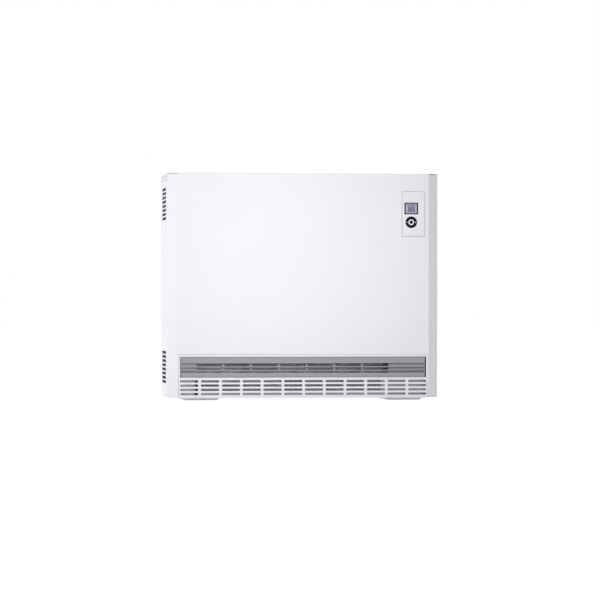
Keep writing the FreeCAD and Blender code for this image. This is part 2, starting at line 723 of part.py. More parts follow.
def front_section():
    """The front sheet seen from above: a flat, slanted edges and short sides, one sheet thick."""
    outer = [
        ("half_width", "return_back"),
        ("half_width", "return_front"),
        ("flat_half", "front"),
    ]
    inner = [
        ("half_width - panel_thickness", "return_back"),
        ("half_width - panel_thickness", "return_front + panel_thickness * side_mitre"),
        ("flat_half - panel_thickness * front_mitre", "front + panel_thickness"),
    ]
    left_outer = [(f"-({x})", y) for x, y in outer]
    left_inner = [(f"-({x})", y) for x, y in reversed(inner)]
    return left_outer + list(reversed(outer)) + inner + left_inner


def front_panel():
    body = new_body("front_panel_body")
    pad(body, "front_skin", "xy", "foot_height", "bevel_top", draw_polygon, front_section())
    flat, side, front = value("flat_half"), value("half_width"), value("front")
    bevel_y = value("return_front")
    round_edges(body, "front_bends", "bevel_round", lambda edge: any(
        on_line(edge, "z", x=sign * x, y=y)
        for sign in (-1, 1) for x, y in ((flat, front), (side, bevel_y))))
    sheet = ("front", "front + panel_thickness")
    add_block(body, "front_top", both("flat_half"), sheet, ("bevel_top", "body_height"))
    add_block(body, "front_top_fold", both("flat_half"), ("front", "front + top_fold"),
              ("lid_bottom", "body_height"))
    round_edges(body, "front_top_bend", "bend_radius",
                lambda edge: on_line(edge, "x", y=front, z=value("body_height")))
    through = ("front - seam", "front + notch_lip + seam")
    cut_block(body, "lower_opening", both("notch_half"), through,
              ("foot_height - seam", "notch_top"))
    add_block(body, "lower_opening_lip", both("notch_half"), ("front", "front + notch_lip"),
              ("notch_top", "notch_top + panel_thickness"))
    cut_block(body, "control_opening", around("control_x", "control_width / 2 + control_gap"),
              through, around("control_z", "control_height / 2 + control_gap"))
    return node("front_panel", body)


def top_cover():
    """The lid: a plate with front ears over the slanted edges, side flanges and a rear flange."""
    body = new_body("top_cover_body")
    notch = ("flat_half + seam", "front + top_fold + seam")
    ear_front = ("flat_half + seam", "front + seam * bevel_slope")
    right = [("half_width", "back"), ("half_width", "return_front"), ear_front, notch]
    left = [(f"-({x})", y) for x, y in reversed(right)]
    pad(body, "lid_plate", "xy", "lid_bottom", "body_height", draw_polygon, right + left)
    for name, x in (("left", ("-half_width", "-half_width + panel_thickness")),
                    ("right", ("half_width - panel_thickness", "half_width"))):
        add_block(body, f"lid_{name}_flange", x, ("return_back + seam", "back"),
                  ("body_height - lid_flange", "body_height"))
    add_block(body, "lid_rear_flange", both("inner_half"), ("rear_face", "back"),
              ("body_height - lid_rear_flange", "body_height"))
    screw_holes(body, "lid_rear", REAR_SCREWS[:1])
    return node("top_cover", body)


def screw_holes(body, name, heights):
    """Clearance holes for the screws through the casing's rear corners."""
    for index, z in enumerate(heights):
        for side, x in (("left", "-rear_screw_x"), ("right", "rear_screw_x")):
            pocket(body, f"{name}_{side}_screw_{index}", "xz", "rear_inner - seam", "back + seam",
                   draw_circle, x, z, "screw_shank + fit_gap")


def side_panel_body():
    """The left side: a sheet with inward flanges, vents and pressed beads."""
    body = new_body("side_panel_body")
    skin = ("-half_width", "-half_width + panel_thickness")
    run = ("return_back + seam", "back")
    height = ("foot_height", "side_top")
    add_block(body, "side_skin", skin, run, height)
    inward = ("-half_width", "-half_width + side_flange")
    add_block(body, "side_rear_flange", inward, ("rear_inner", "rear_face"), height)
    add_block(body, "side_front_flange", inward,
              ("return_back + seam", "return_back + seam + panel_thickness"),
              ("foot_height + tray_flange + seam", "side_top"))
    add_block(body, "side_top_flange", inward, ("return_back + seam", "rear_face"),
              ("side_top - panel_thickness", "side_top"))
    across = ("-half_width - seam", "-half_width + panel_thickness + seam")
    vent_y = "back - vent_rear - vent_length / 2"
    for name, lowest in (("upper", "upper_vent - vent_pitch * (vent_rows - 1)"),
                         ("lower", "lower_vent")):
        vent = pocket(body, f"{name}_vent", "yz", *across, draw_slot,
                      vent_y, lowest, "vent_length", "vent_height")
        row(body, vent, "V_Axis", "vent_rows", "vent_pitch")
    for index in range(2):
        middle = f"body_height - bead_drop - {index} * bead_pitch"
        cut_block(body, f"bead_{index}", ("-half_width - seam", "-half_width + bead_depth"),
                  run, around(middle, "bead_height / 2"))
    for index, z in enumerate(REAR_SCREWS):
        pocket(body, f"side_screw_{index}", "xz", "rear_inner - seam", "rear_face + seam",
               draw_circle, "-rear_screw_x", z, "screw_shank + fit_gap")
    return body


def side_panels():
    left = node("left_side_panel", side_panel_body())
    return left, node("right_side_panel", mirrored("right_side", left))


def rear_panel():
    body = new_body("rear_panel_body")
    add_block(body, "rear_sheet", both("inner_half"), ("rear_face", "back"),
              ("foot_height", "rear_flange_top"))
    screw_holes(body, "rear", REAR_SCREWS[1:])
    through = ("rear_face - seam", "back + seam")
    for side, x in (("left", "-spacer_x"), ("right", "spacer_x")):
        pocket(body, f"wall_screw_{side}", "xz", *through,
               draw_circle, x, "spacer_high", "wall_hole_radius")
    pocket(body, "cable_entry", "xz", *through,
           draw_circle, "gland_x", "gland_z", "gland_radius + fit_gap")
    return node("rear_panel", body)


def wall_spacers():
    """Four cones that keep the casing off the wall, the upper two bored for the wall screws."""
    cones = []
    for side, x in (("left", "-spacer_x"), ("right", "spacer_x")):
        for level, z in (("high", "spacer_high"), ("low", "spacer_low")):
            name = f"spacer_{level}_{side}"
            solid = cone(name, "y", (x, "back", z), "spacer_neck", "spacer_radius", "wall_gap")
            if level == "high":
                bore = rod(name + "_bore", "y", (x, "back - seam", z),
                           "wall_hole_radius", "wall_gap + 2 * seam")
                solid = cut(name + "_bored", solid, bore)
            cones.append(solid)
    return node("wall_spacers", group("spacers", *cones))


def base_tray():
    """The floor of the casing, with upturned edges, intake blanks and hinge ears."""
    body = new_body("base_tray_body")
    right = [("inner_half", "rear_inner - fit_gap"), ("inner_half", "return_back"),
             ("notch_half", "tray_edge")]
    left = [(f"-({x})", y) for x, y in reversed(right)]
    floor = ("foot_height", "tray_top")
    pad(body, "tray_floor", "xy", *floor, draw_polygon, right + left)
    tall = ("foot_height", "foot_height + tray_flange")
    rear = ("rear_inner - fit_gap - tray_thickness", "rear_inner - fit_gap")
    add_block(body, "tray_rear", both("inner_half"), rear, tall)
    for side, sign in (("left", "-"), ("right", "")):
        edges = [f"{sign}({x})" for x in ("inner_half - tray_thickness", "inner_half")]
        ears = [f"{sign}({x})" for x in ("ear_inner", "ear_inner + ear_thickness")]
        if sign:
            edges.reverse()
            ears.reverse()
        add_block(body, f"tray_{side}", edges, ("return_back", "rear_inner - fit_gap"), tall)
        add_block(body, f"hinge_ear_{side}", ears,
                  ("front + panel_thickness + fit_gap", "tray_edge + tray_flange"),
                  ("foot_height", "foot_height + ear_height"))
        pocket(body, f"hinge_hole_{side}", "yz", ears[0] + " - seam", ears[1] + " + seam",
               draw_circle, "hinge_y", "hinge_z", "pin_radius + pin_play")
    blank = ("tray_edge", "tray_edge + tray_thickness")
    rise = ("foot_height", "foot_height + blank_height")
    add_block(body, "left_blank", ("-notch_half + blank_margin", "fan_left - support_sheet"),
              blank, rise)
    add_block(body, "right_blank", ("fan_right + support_sheet", "notch_half - blank_margin"),
              blank, rise)
    for side, x in (("left", "-foot_x"), ("right", "foot_x")):
        for end, y in floor_hole_rows():
            pocket(body, f"floor_access_{side}_{end}", "xy", "foot_height - seam",
                   "tray_top + seam", draw_circle, x, y, "floor_access_radius")
    for index, (x, y) in enumerate(foot_screw_spots()):
        pocket(body, f"foot_screw_hole_{index}", "xy", "foot_height - seam", "tray_top + seam",
               draw_circle, x, y, "screw_shank + fit_gap")
    return node("base_tray", body)


def floor_hole_rows():
    """Where the two floor holes of a foot lie, front to back."""
    half = "floor_hole_pitch / 2"
    return ("front", f"foot_centre_y - {half}"), ("rear", f"foot_centre_y + {half}")


def foot_screw_spots():
    """Where the screws go down through the tray into the feet."""
    xs = ("-foot_x - foot_screw_shift", "foot_x + foot_screw_shift")
    ys = ("foot_centre_y - foot_screw_pitch / 2", "foot_centre_y + foot_screw_pitch / 2")
    return [(x, y) for x in xs for y in ys]


def foot_section(middle):
    """A channel with flanks drawn in toward the floor and lips along it."""
    taper = "foot_slope * foot_sheet / foot_height"
    wall = "1.5 * foot_sheet"
    right = [
        ("foot_width / 2 - foot_slope - foot_lip", "0"),
        ("foot_width / 2 - foot_slope", "0"),
        ("foot_width / 2", "foot_height"),
    ]
    inner = [
        (f"foot_width / 2 - {taper} - {wall}", "foot_height - foot_sheet"),
        (f"foot_width / 2 - foot_slope + {taper} - {wall}", "foot_sheet"),
        ("foot_width / 2 - foot_slope - foot_lip", "foot_sheet"),
    ]
    left = [(f"-({x})", z) for x, z in reversed(right)]
    left_inner = [(f"-({x})", z) for x, z in reversed(inner)]
    return [(f"({middle}) + ({x})", z) for x, z in right + left + left_inner + inner]


def foot_end(middle):
    """The outline of a foot's closed end."""
    low, high = "foot_width / 2 - foot_slope", "foot_width / 2"
    corners = ((f"-({low})", "0"), (low, "0"), (high, "foot_height"), (f"-({high})", "foot_height"))
    return [(f"({middle}) + ({x})", z) for x, z in corners]


def foot(name, middle):
    """A pressed steel foot, closed at both ends and bored for floor screws."""
    body = new_body(name + "_body")
    run = ("foot_front", "foot_front + foot_depth")
    pad(body, name + "_channel", "xz", *run, draw_polygon, foot_section(middle))
    pad(body, name + "_front_end", "xz", "foot_front", "foot_front + foot_sheet",
        draw_polygon, foot_end(middle))
    pad(body, name + "_rear_end", "xz", "foot_front + foot_depth - foot_sheet",
        "foot_front + foot_depth", draw_polygon, foot_end(middle))
    for end, y in floor_hole_rows():
        pocket(body, f"{name}_{end}_hole", "xy", "foot_height - foot_sheet - seam",
               "foot_height + seam", draw_circle, middle, y, "floor_hole_radius")
    for index, (x, y) in enumerate(foot_screw_spots()):
        if (x.startswith("-")) == (middle.startswith("-")):
            pocket(body, f"{name}_screw_{index}", "xy", "foot_height - foot_sheet - seam",
                   "foot_height + seam", draw_circle, x, y, "screw_shank + fit_gap")
    return node(name, body)


# ---------------------------------------------------------------- inner frame

def front_inner_wall():
    body = new_body("front_inner_wall_body")
    wide = ("wall_left - side_wall", "partition_face")
    add_block(body, "inner_wall_sheet", wide, ("inner_wall_front", "inner_wall_back"),
              ("shelf_top", "insulation_high"))
    add_block(body, "inner_wall_fold", wide, ("inner_wall_front", "jacket_front"),
              ("insulation_high", "insulation_high + inner_wall"))
    return node("front_inner_wall", body)


def inner_side_walls():
    """The left wall of the insulated box, and the partition before the switch compartment."""
    deep = ("inner_wall_back", "rear_face - fit_gap")
    tall = ("shelf_top", "insulation_high")
    left = box("inner_left_wall", ("wall_left - side_wall", "wall_left"), deep, tall)
    right = box("partition_sheet", ("partition", "partition_face"), deep, tall)
    holes = [rod(f"partition_hole_{i}", "x", ("partition - seam", y, z),
                 "bush_radius + fit_gap", "side_wall + 2 * seam")
             for i, (y, z) in enumerate(element_legs())]
    holes.append(rod("sensor_hole", "x", ("partition - seam", "core_y", "sensor_z"),
                     "sensor_radius + fit_gap", "side_wall + 2 * seam"))
    return node("inner_side_walls", group("side_walls", left, cut("partition_cut", right, *holes)))


def channel_cuts(name, z):
    """The air channels' outlines through a layer, two for each brick column."""
    cuts = []
    for column in range(3):
        middle = f"core_left + {column + 0.5} * brick_width"
        for side, sign in (("front", "-"), ("rear", "+")):
            cuts.append(box(f"{name}_{side}_channel_{column}", around(middle, "channel_width / 2"),
                            around(f"core_y {sign} channel_offset", "channel_depth / 2"), z))
    return cuts


def core_shelf():
    """The plate that carries the core, with air openings and a flange behind the outlet's top."""
    plate = box("shelf_plate", ("wall_left - side_wall", "partition_face"),
                ("inner_wall_front", "rear_face - fit_gap"), ("shelf_bottom", "shelf_top"))
    flange = box("shelf_flange", both("grille_half - grille_sheet - fit_gap"),
                 ("inner_wall_front", "inner_wall_front + shelf_thickness"),
                 ("band_bottom + shelf_thickness", "shelf_top"))
    shelf = fuse("shelf_sheet", plate, flange)
    cuts = channel_cuts("shelf", ("shelf_bottom - seam", "shelf_top + seam"))
    cuts.append(rod("shelf_screw_hole", "y",
                    ("grille_screw_x", "inner_wall_front - seam", "grille_screw_z"),
                    "screw_shank + fit_gap", "shelf_thickness + 2 * seam"))
    return node("core_shelf", cut("core_shelf_cut", shelf, *cuts))


def support_walls():
    """Two upright sheets under the shelf, each with a foot along the tray."""
    walls = []
    deep = ("support_front", "support_rear")
    for side, x, sole in (
            ("left", ("fan_left - support_sheet", "fan_left"),
             ("fan_left - sole_width", "fan_left")),
            ("right", ("fan_right", "fan_right + support_sheet"),
             ("fan_right", "fan_right + sole_width"))):
        wall = box(f"support_{side}", x, deep, ("tray_top", "shelf_bottom"))
        foot_strip = box(f"support_sole_{side}", sole, ("support_sole_front", "support_rear"),
                         ("tray_top", "tray_top + support_sheet"))
        walls.append(fuse(f"support_wall_{side}", wall, foot_strip))
    return node("support_walls", group("supports", *walls))


def air_divider():
    """The ceiling over the fan, with an upright wall, its bypass window and the flap's ears."""
    body = new_body("air_divider_body")
    wide = ("fan_left", "fan_right")
    upright = ("divider_y", "divider_y + divider_sheet")
    add_block(body, "divider_ceiling", wide, ("front + panel_fold", "divider_y + divider_sheet"),
              ("divider_bottom", "divider_top"))
    add_block(body, "divider_upright", wide, upright, ("divider_bottom", "shelf_bottom"))
    cut_block(body, "bypass_window", ("flap_left + bypass_margin", "flap_right - bypass_margin"),
              ("divider_y - seam", "divider_y + divider_sheet + seam"),
              ("flap_foot + flap_lap", "flap_foot + flap_lap + bypass_height"))
    cut_block(body, "coil_window", ("coil_left - fit_gap", "flap_left - fit_gap - ear_thickness"),
              ("divider_y - seam", "divider_y + divider_sheet + seam"),
              around("flap_z", "coil_reach"))
    for side, x in flap_ears():
        add_block(body, f"flap_ear_{side}", x, ("flap_y - flap_ear", "divider_y"),
                  around("flap_z", "flap_ear"))
        pocket(body, f"flap_hole_{side}", "yz", x[0] + " - seam", x[1] + " + seam",
               draw_circle, "flap_y", "flap_z", "flap_pin + pin_play")
    return node("air_divider", body)


def flap_ears():
    """The two ears at the flap's ends, side to side."""
    return (("left", ("flap_left - fit_gap - ear_thickness", "flap_left - fit_gap")),
            ("right", ("flap_right + fit_gap", "flap_right + fit_gap + ear_thickness")))


# ---------------------------------------------------------------- core

def element_levels():
    """The joints between bricks that hold a heating element: the first, a middle and a high one."""
    joints = ("1", "floor((brick_rows - 1) / 2)", "(brick_rows - 2)")
    return [f"core_bottom + {joint} * brick_height" for joint in joints]


def element_legs():
    """Where the elements' six legs leave the core."""
    return [(f"core_y {sign} element_bend", z) for z in element_levels() for sign in "-+"]


def insulation():
    """Slabs on all six sides of the core."""
    wide = ("wall_left", "partition")
    inner = ("jacket_left", "jacket_right")
    deep = ("jacket_front", "jacket_back")
    tall = ("shelf_top", "insulation_high")
    base = box("base_slab", inner, deep, ("shelf_top", "core_bottom"))
    cuts = channel_cuts("base", ("shelf_top - seam", "core_bottom + seam"))
    node("insulation_base", cut("base_slab_cut", base, *cuts))
    node("insulation_front", box("front_slab", wide, ("inner_wall_back", "jacket_front"), tall))
    node("insulation_rear", box("rear_slab", wide, ("jacket_back", "rear_face - fit_gap"), tall))
    node("insulation_left", box("left_slab", ("wall_left", "jacket_left"), deep, tall))
    node("insulation_top", box("top_slab", inner, deep, ("jacket_top", "insulation_high")))
    right = box("right_slab", ("jacket_right", "partition"), deep, tall)
    length = "partition - jacket_right + 2 * seam"
    holes = [rod(f"right_slab_hole_{i}", "x", ("jacket_right - seam", y, z),
                 "bush_radius + fit_gap", length) for i, (y, z) in enumerate(element_legs())]
    holes.append(rod("right_slab_sensor", "x", ("jacket_right - seam", "core_y", "sensor_z"),
                     "sensor_radius + fit_gap", length))
    node("insulation_right", cut("right_slab_cut", right, *holes))


def core_jacket():
    """The sheet box around the bricks, open below."""
    outer = box("jacket_outer", ("jacket_left", "jacket_right"), ("jacket_front", "jacket_back"),
                ("core_bottom", "jacket_top"))
    hollow = box("jacket_hollow", ("jacket_left + jacket_sheet", "jacket_right - jacket_sheet"),
                 ("jacket_front + jacket_sheet", "jacket_back - jacket_sheet"),
                 ("core_bottom - seam", "jacket_top - jacket_sheet"))
    holes = [rod(f"jacket_hole_{i}", "x", ("core_right", y, z),
                 "element_radius + element_play", "core_play + jacket_sheet + seam")
             for i, (y, z) in enumerate(element_legs())]
    return node("core_jacket", cut("jacket_shell", outer, hollow, *holes))


def element_groove(name, z):
    """The room that a heating element takes in the bricks."""
    radius = "element_radius + element_play"
    parts = [rod(f"{name}_groove_{side}", "x", ("bend_x", f"core_y {sign} element_bend", z),
                 radius, "core_right - bend_x + seam")
             for side, sign in (("front", "-"), ("rear", "+"))]
    parts.append(half_ring(name + "_groove_bend", z, radius))
    return parts


def half_ring(name, z, radius):
    """The element's half turn at the left, opening to the right."""
    ring = doc.addObject("Part::Torus", name)
    ring.setExpression("Radius1", bound("element_bend"))
    ring.setExpression("Radius2", bound(radius))
    ring.Angle3 = 180
    return place(ring, "bend_x", "core_y", z, Rotation(Vector(0, 0, 1), 90))


def brick_columns():
    """Three columns of storage bricks with air channels and grooves for the elements."""
    tall = ("core_bottom - seam", "core_top + seam")
    cuts = channel_cuts("brick", tall)
    for index, z in enumerate(element_levels()):
        cuts += element_groove(f"element_{index}", z)
    room = group("brick_room", *cuts)
    for column, name in enumerate(("left", "centre", "right")):
        low = f"core_left + {column} * brick_width"
        span = (low + " + brick_gap / 2", low + " + brick_width - brick_gap / 2")
        bricks = [box(f"brick_{name}_{layer}", span, ("brick_front", "brick_back"),
                      (f"core_bottom + {layer} * brick_height",
                       f"core_bottom + {layer + 1} * brick_height - brick_gap"))
                  for layer in range(int(value("brick_rows")))]
        column_cut = cut(f"brick_column_{name}", group(f"bricks_{name}", *bricks), room)
        node(f"brick_stack_{name}", column_cut)


def heating_elements():
    """Hairpin elements in the joints between bricks, with a terminal stud on each leg."""
    for name, z in zip(("lower", "middle", "upper"), element_levels()):
        parts = [half_ring(f"element_bend_{name}", z, "element_radius")]
        for side, sign in (("front", "-"), ("rear", "+")):
            y = f"core_y {sign} element_bend"
            parts.append(rod(f"element_leg_{name}_{side}", "x", ("bend_x", y, z),
                             "element_radius", "element_end - bend_x"))
            parts.append(rod(f"element_stud_{name}_{side}", "x", ("element_end", y, z),
                             "stud_radius", "stud_length"))
        node(f"heating_element_{name}", fuse(f"hairpin_{name}", *parts))


def element_bushes():
    """Ceramic bushes around the elements' legs, from the jacket into the switch compartment."""
    bushes = []
    for index, (y, z) in enumerate(element_legs()):
        length = "partition_face + bush_reach - jacket_right"
        solid = rod(f"bush_{index}", "x", ("jacket_right", y, z), "bush_radius", length)
        bore = rod(f"bush_bore_{index}", "x", ("jacket_right - seam", y, z),
                   "element_radius + fit_gap", length + " + 2 * seam")
        bushes.append(cut(f"bush_bored_{index}", solid, bore))
    return node("element_bushes", group("bushes", *bushes))


# ---------------------------------------------------------------- outlet grille and service panel

LOUVRES = (
    ("upper_louvre", "upper_pierce"),
    ("middle_louvre", "middle_pierce"),
    ("lower_louvre", "lower_pierce"),
)


def grille_section():
    """The outlet's face seen from the side: a band, three louvres and a lower band."""
    outer = [("grille_front", "grille_top"), ("grille_front", "band_bottom")]
    inner = [("grille_front + grille_sheet", "grille_top"),
             ("grille_front + grille_sheet", "band_bottom + grille_sheet")]
    root = "grille_front + louvre_depth"
    height = "band_bottom"
    for index, (drop, _) in enumerate(LOUVRES):
        last = index == len(LOUVRES) - 1
        toe = "grille_front" if last else "grille_front + louvre_toe"
        run = f"(({root}) - ({toe}))"
        skew = f"grille_sheet * (({run}) + sqrt(({run}) ^ 2 + ({drop}) ^ 2)) / ({drop})"
        low = f"{height} - {drop}"
        outer += [(root, height), (toe, low)]
        inner.append((f"{root} + {skew}", f"{height} + grille_sheet"))
        if last:
            fall = f"grille_sheet * (sqrt(({run}) ^ 2 + ({drop}) ^ 2) - ({drop})) / ({run})"
            inner.append(("grille_front + grille_sheet", f"{low} - {fall}"))
        else:
            inner.append((f"{toe} + {skew}", f"{low} + grille_sheet"))
        height = low
    outer.append(("grille_front", "grille_bottom"))
    inner.append(("grille_front + grille_sheet", "grille_bottom"))
    return outer + list(reversed(inner))


def outlet_grille():
    """The outlet's sheet with pierced louvres and folded edges."""
    body = new_body("outlet_grille_body")
    pad(body, "grille_face", "yz", *both("grille_half"), draw_polygon, grille_section())
    deep = ("grille_front", "grille_front + grille_fold")
    tall = ("grille_bottom", "grille_top")
    add_block(body, "grille_left_end", ("-grille_half", "-grille_half + grille_sheet"), deep, tall)
    add_block(body, "grille_right_end", ("grille_half - grille_sheet", "grille_half"), deep, tall)
    add_block(body, "grille_bottom_fold", both("grille_half"), deep,
              ("grille_bottom", "grille_bottom + grille_sheet"))
    add_block(body, "grille_top_fold", both("grille_half"), ("grille_front", "grille_top_back"),
              ("grille_top - grille_sheet", "grille_top"))
    first = "core_shift - pierce_pitch * (pierce_columns - 1) / 2"
    top = "band_bottom"
    for name, (drop, pierced) in zip(("upper", "middle", "lower"), LOUVRES):
        hole = pocket(body, f"{name}_opening", "xz", "grille_front - seam",
                      "grille_front + grille_fold", draw_polygon,
                      rectangle(around(first, "pierce_width / 2"), (f"{top} - {pierced}", top)))
        row(body, hole, "H_Axis", "pierce_columns", "pierce_pitch")
        top = f"{top} - {drop}"
    cut_block(body, "grille_crease", both("grille_half + seam"),
              ("grille_front - seam", "grille_front + crease_depth"),
              around("grille_top - crease_drop", "crease_height / 2"))
    pocket(body, "grille_screw_hole", "xz", "grille_front - seam",
           "grille_front + grille_sheet + seam", draw_circle,
           "grille_screw_x", "grille_screw_z", "screw_shank + fit_gap")
    return node("outlet_grille", body)


def lower_grille_panel():
    """The hinged service panel: intake slots below, a window around the outlet above."""
    body = new_body("lower_panel_body")
    tall = ("panel_bottom", "panel_top")
    pad(body, "panel_skin", "xz", "front", "front + panel_thickness",
        draw_polygon, rectangle(both("panel_half"), tall))
    side = ("front", "front + panel_fold")
    inner = "panel_half - panel_thickness"
    add_block(body, "panel_left_fold", ("-panel_half", f"-({inner})"), side, tall)
    add_block(body, "panel_right_fold", (inner, "panel_half"), side, tall)
    add_block(body, "panel_top_fold", both("panel_half"), ("front", "front + panel_top_fold"),
              ("panel_top - panel_thickness", "panel_top"))
    add_block(body, "panel_bottom_fold", both("panel_half"), ("front", "front + panel_lip"),
              ("panel_bottom", "panel_bottom + panel_thickness"))
    edge, low, high = value("panel_half"), value("panel_bottom"), value("panel_top")
    front = value("front")
    round_edges(body, "panel_bends", "bend_radius", lambda line: any(
        on_line(line, "z", x=x, y=front) for x in (-edge, edge)) or any(
        on_line(line, "x", y=front, z=z) for z in (low, high)))
    through = ("front - seam", "front + panel_thickness + seam")
    cut_block(body, "outlet_window", both("window_half"), through, ("window_low", "window_high"))
    slot = pocket(body, "intake_slot", "xz", *through, draw_slot,
                  "-slot_pitch_x * (slot_columns - 1) / 2", "panel_bottom + slot_base",
                  "slot_length", "slot_height")
    row(body, slot, "H_Axis", "slot_columns", "slot_pitch_x",
        ("V_Axis", "slot_rows", "slot_pitch_z"))
    for side_name, x in (("left", ("-panel_half - pin_length", "-panel_half")),
                         ("right", ("panel_half", "panel_half + pin_length"))):
        pad(body, f"hinge_pin_{side_name}", "yz", *x, draw_circle,
            "hinge_y", "hinge_z", "pin_radius")
    return node("lower_grille_panel", body)


def lint_filter():
    """The framed mesh behind the intake slots, clipped to the service panel."""
    body = new_body("filter_frame_body")
    low = "panel_bottom + filter_rise"
    x = ("fan_left + filter_left_gap", "fan_right - filter_right_gap")
    z = (low, f"{low} + filter_height")
    front = "front + panel_thickness + fit_gap"
    y = (front, front + " + filter_frame")
    pad(body, "filter_plate", "xz", *y, draw_polygon, rectangle(x, z))
    inner = f"({x[1]}) - ({x[0]}) - filter_border - filter_grip"
    step = f"({inner} + filter_rib) / filter_windows"
    opening_z = (low + " + filter_border", low + " + filter_height - filter_border")
    opening_x = (f"{x[0]} + filter_border", f"{x[0]} + filter_border + {step} - filter_rib")
    opening = pocket(body, "filter_opening", "xz", f"{y[0]} - seam", f"{y[1]} + seam",
                     draw_polygon, rectangle(opening_x, opening_z))
    row(body, opening, "H_Axis", "filter_windows", step)
    frame = node("lint_filter_frame", body)
    mesh = node("lint_filter_mesh", box("filter_gauze", x, (y[1], y[1] + " + filter_mesh"), z))
    return frame, mesh


# ---------------------------------------------------------------- fan and flap

def fan_tray():
    """The fan's own floor sheet, with a cheek at each end that holds a shaft bearing."""
    body = new_body("fan_tray_body")
    x = around("fan_x", "cheek_inner + fan_tray_sheet")
    y = ("fan_y - fan_radius - cheek_gap", "fan_y + fan_radius + scroll_tail")
    add_block(body, "fan_floor", x, y, ("tray_top", "fan_tray_top"))
    cheeks = (("left", ("fan_x - cheek_inner - fan_tray_sheet", "fan_x - cheek_inner")),
              ("right", ("fan_x + cheek_inner", "fan_x + cheek_inner + fan_tray_sheet")))
    for side, span in cheeks:
        add_block(body, f"fan_cheek_{side}", span, y, ("tray_top", "divider_bottom - fit_gap"))
        pocket(body, f"cheek_hole_{side}", "yz", span[0] + " - seam", span[1] + " + seam",
               draw_circle, "fan_y", "fan_z", "bearing_radius + pin_play")
    return node("fan_tray", body)


def impellers():
    """Two drum wheels, each with three discs and a ring of slanted blades."""
    body = new_body("impeller_body")
    for axis, at in zip("xyz", ("fan_x", "fan_y", "fan_z")):
        body.setExpression(f"Placement.Base.{axis}", bound(at))
    near = "fan_hub_gap"
    add_disc(body, "near_disc", near)
    inner = "fan_radius - blade_chord"
    lean = "blade_chord / 2"
    blade = [("0", inner), ("blade_thickness", inner),
             (f"{lean} + blade_thickness", "fan_radius - fit_gap"),
             (lean, "fan_radius - fit_gap")]
    blade = pad(body, "blade", "yz", near + " + disc_thickness", "wheel_end - disc_thickness",
                draw_polygon, blade)
    ring = body.newObject("PartDesign::PolarPattern", "blade_ring")
    ring.Originals = [blade]
    axis = [f for f in body.Origin.OriginFeatures if f.Role == "X_Axis"][0]
    ring.Axis = (axis, [""])
    ring.Angle = 360
    ring.setExpression("Occurrences", bound("blade_count"))
    body.Tip = ring
    doc.recompute()
    add_disc(body, "middle_disc", "(fan_hub_gap + wheel_end - disc_thickness) / 2")
    add_disc(body, "far_disc", "wheel_end - disc_thickness")
    pocket(body, "wheel_bore", "yz", near + " - seam", "wheel_end + seam",
           draw_circle, "0", "0", "shaft_radius + pin_play")
    return node("impellers", group("wheels", body, mirrored("left_wheel", body, "fan_x")))


def add_disc(body, name, start):
    """One of the wheel's discs."""
    return pad(body, name, "yz", start, f"{start} + disc_thickness",
               draw_circle, "0", "0", "fan_radius")


def fan_axis_rod(name, reach_low, reach_high, radius):
    """A cylinder on the fan's axis between two distances from the fan's middle."""
    return rod(name, "x", (f"fan_x + ({reach_low})", "fan_y", "fan_z"),
               radius, f"({reach_high}) - ({reach_low})")


def fan_shaft():
    end = "cheek_inner + bearing_length"
    return node("fan_shaft", fan_axis_rod("shaft", f"-({end})", end, "shaft_radius"))


def motor():
    """A shaded-pole motor: stator with end brackets, one coil and a rotor on the shaft."""
    half = "stator_length / 2"
    size = "stator_size / 2"
    core = box("stator_core", around("fan_x", half),
               (f"fan_y - {size}", f"fan_y + {size} + coil_room + coil_leg"),
               around("fan_z", size))
    bore = fan_axis_rod("stator_hole", f"-{half} - seam", f"{half} + seam", "stator_bore")
    window = box("stator_window", around("fan_x", half + " + seam"),
                 (f"fan_y + {size} - coil_leg", f"fan_y + {size} + coil_room"),
                 around("fan_z", "coil_half"))
    solids = [cut("stator_cut", core, bore, window)]
    for side, low in (("left", "-bracket_gap - bracket_sheet"), ("right", "bracket_gap")):
        span = (f"fan_x + {low}", f"fan_x + {low} + bracket_sheet")
        plate = box(f"bracket_{side}", span, around("fan_y", size),
                    ("fan_tray_top", f"fan_z + {size}"))
        hole = fan_axis_rod(f"bracket_hole_{side}", f"{low} - seam",
                            f"{low} + bracket_sheet + seam", "bearing_radius + pin_play")
        solids.append(cut(f"bracket_cut_{side}", plate, hole))
    for index, (sign_y, sign_z) in enumerate((a, b) for a in "-+" for b in "-+"):
        y = f"fan_y {sign_y} ({size} - bracket_post)"
        z = f"fan_z {sign_z} ({size} - bracket_post)"
        solids += [rod(f"post_{side}_{index}", "x", (f"fan_x + {low}", y, z),
                       "screw_shank", "bracket_gap - stator_length / 2")
                   for side, low in (("left", "-bracket_gap"), ("right", half))]
    node("motor_stator", group("stator_parts", *solids))
    leg_y = f"fan_y + {size} + coil_room"
    wound = box("coil_block", around("fan_x", half + " + coil_wall"),
                (f"{leg_y} - coil_wall", f"{leg_y} + coil_leg + coil_wall"),
                around("fan_z", "coil_half - fit_gap"))
    core_room = box("coil_room_cut", around("fan_x", half + " + fit_gap"),
                    (f"{leg_y} - fit_gap", f"{leg_y} + coil_leg + fit_gap"),
                    around("fan_z", "coil_half"))
    node("motor_coil", cut("coil_cut", wound, core_room))
    drum = fan_axis_rod("rotor_drum", f"-{half}", half, "stator_bore - air_clearance")
    hole = fan_axis_rod("rotor_bore", f"-{half} - seam", f"{half} + seam",
                        "shaft_radius + pin_play")
    node("motor_rotor", cut("rotor_cut", drum, hole))


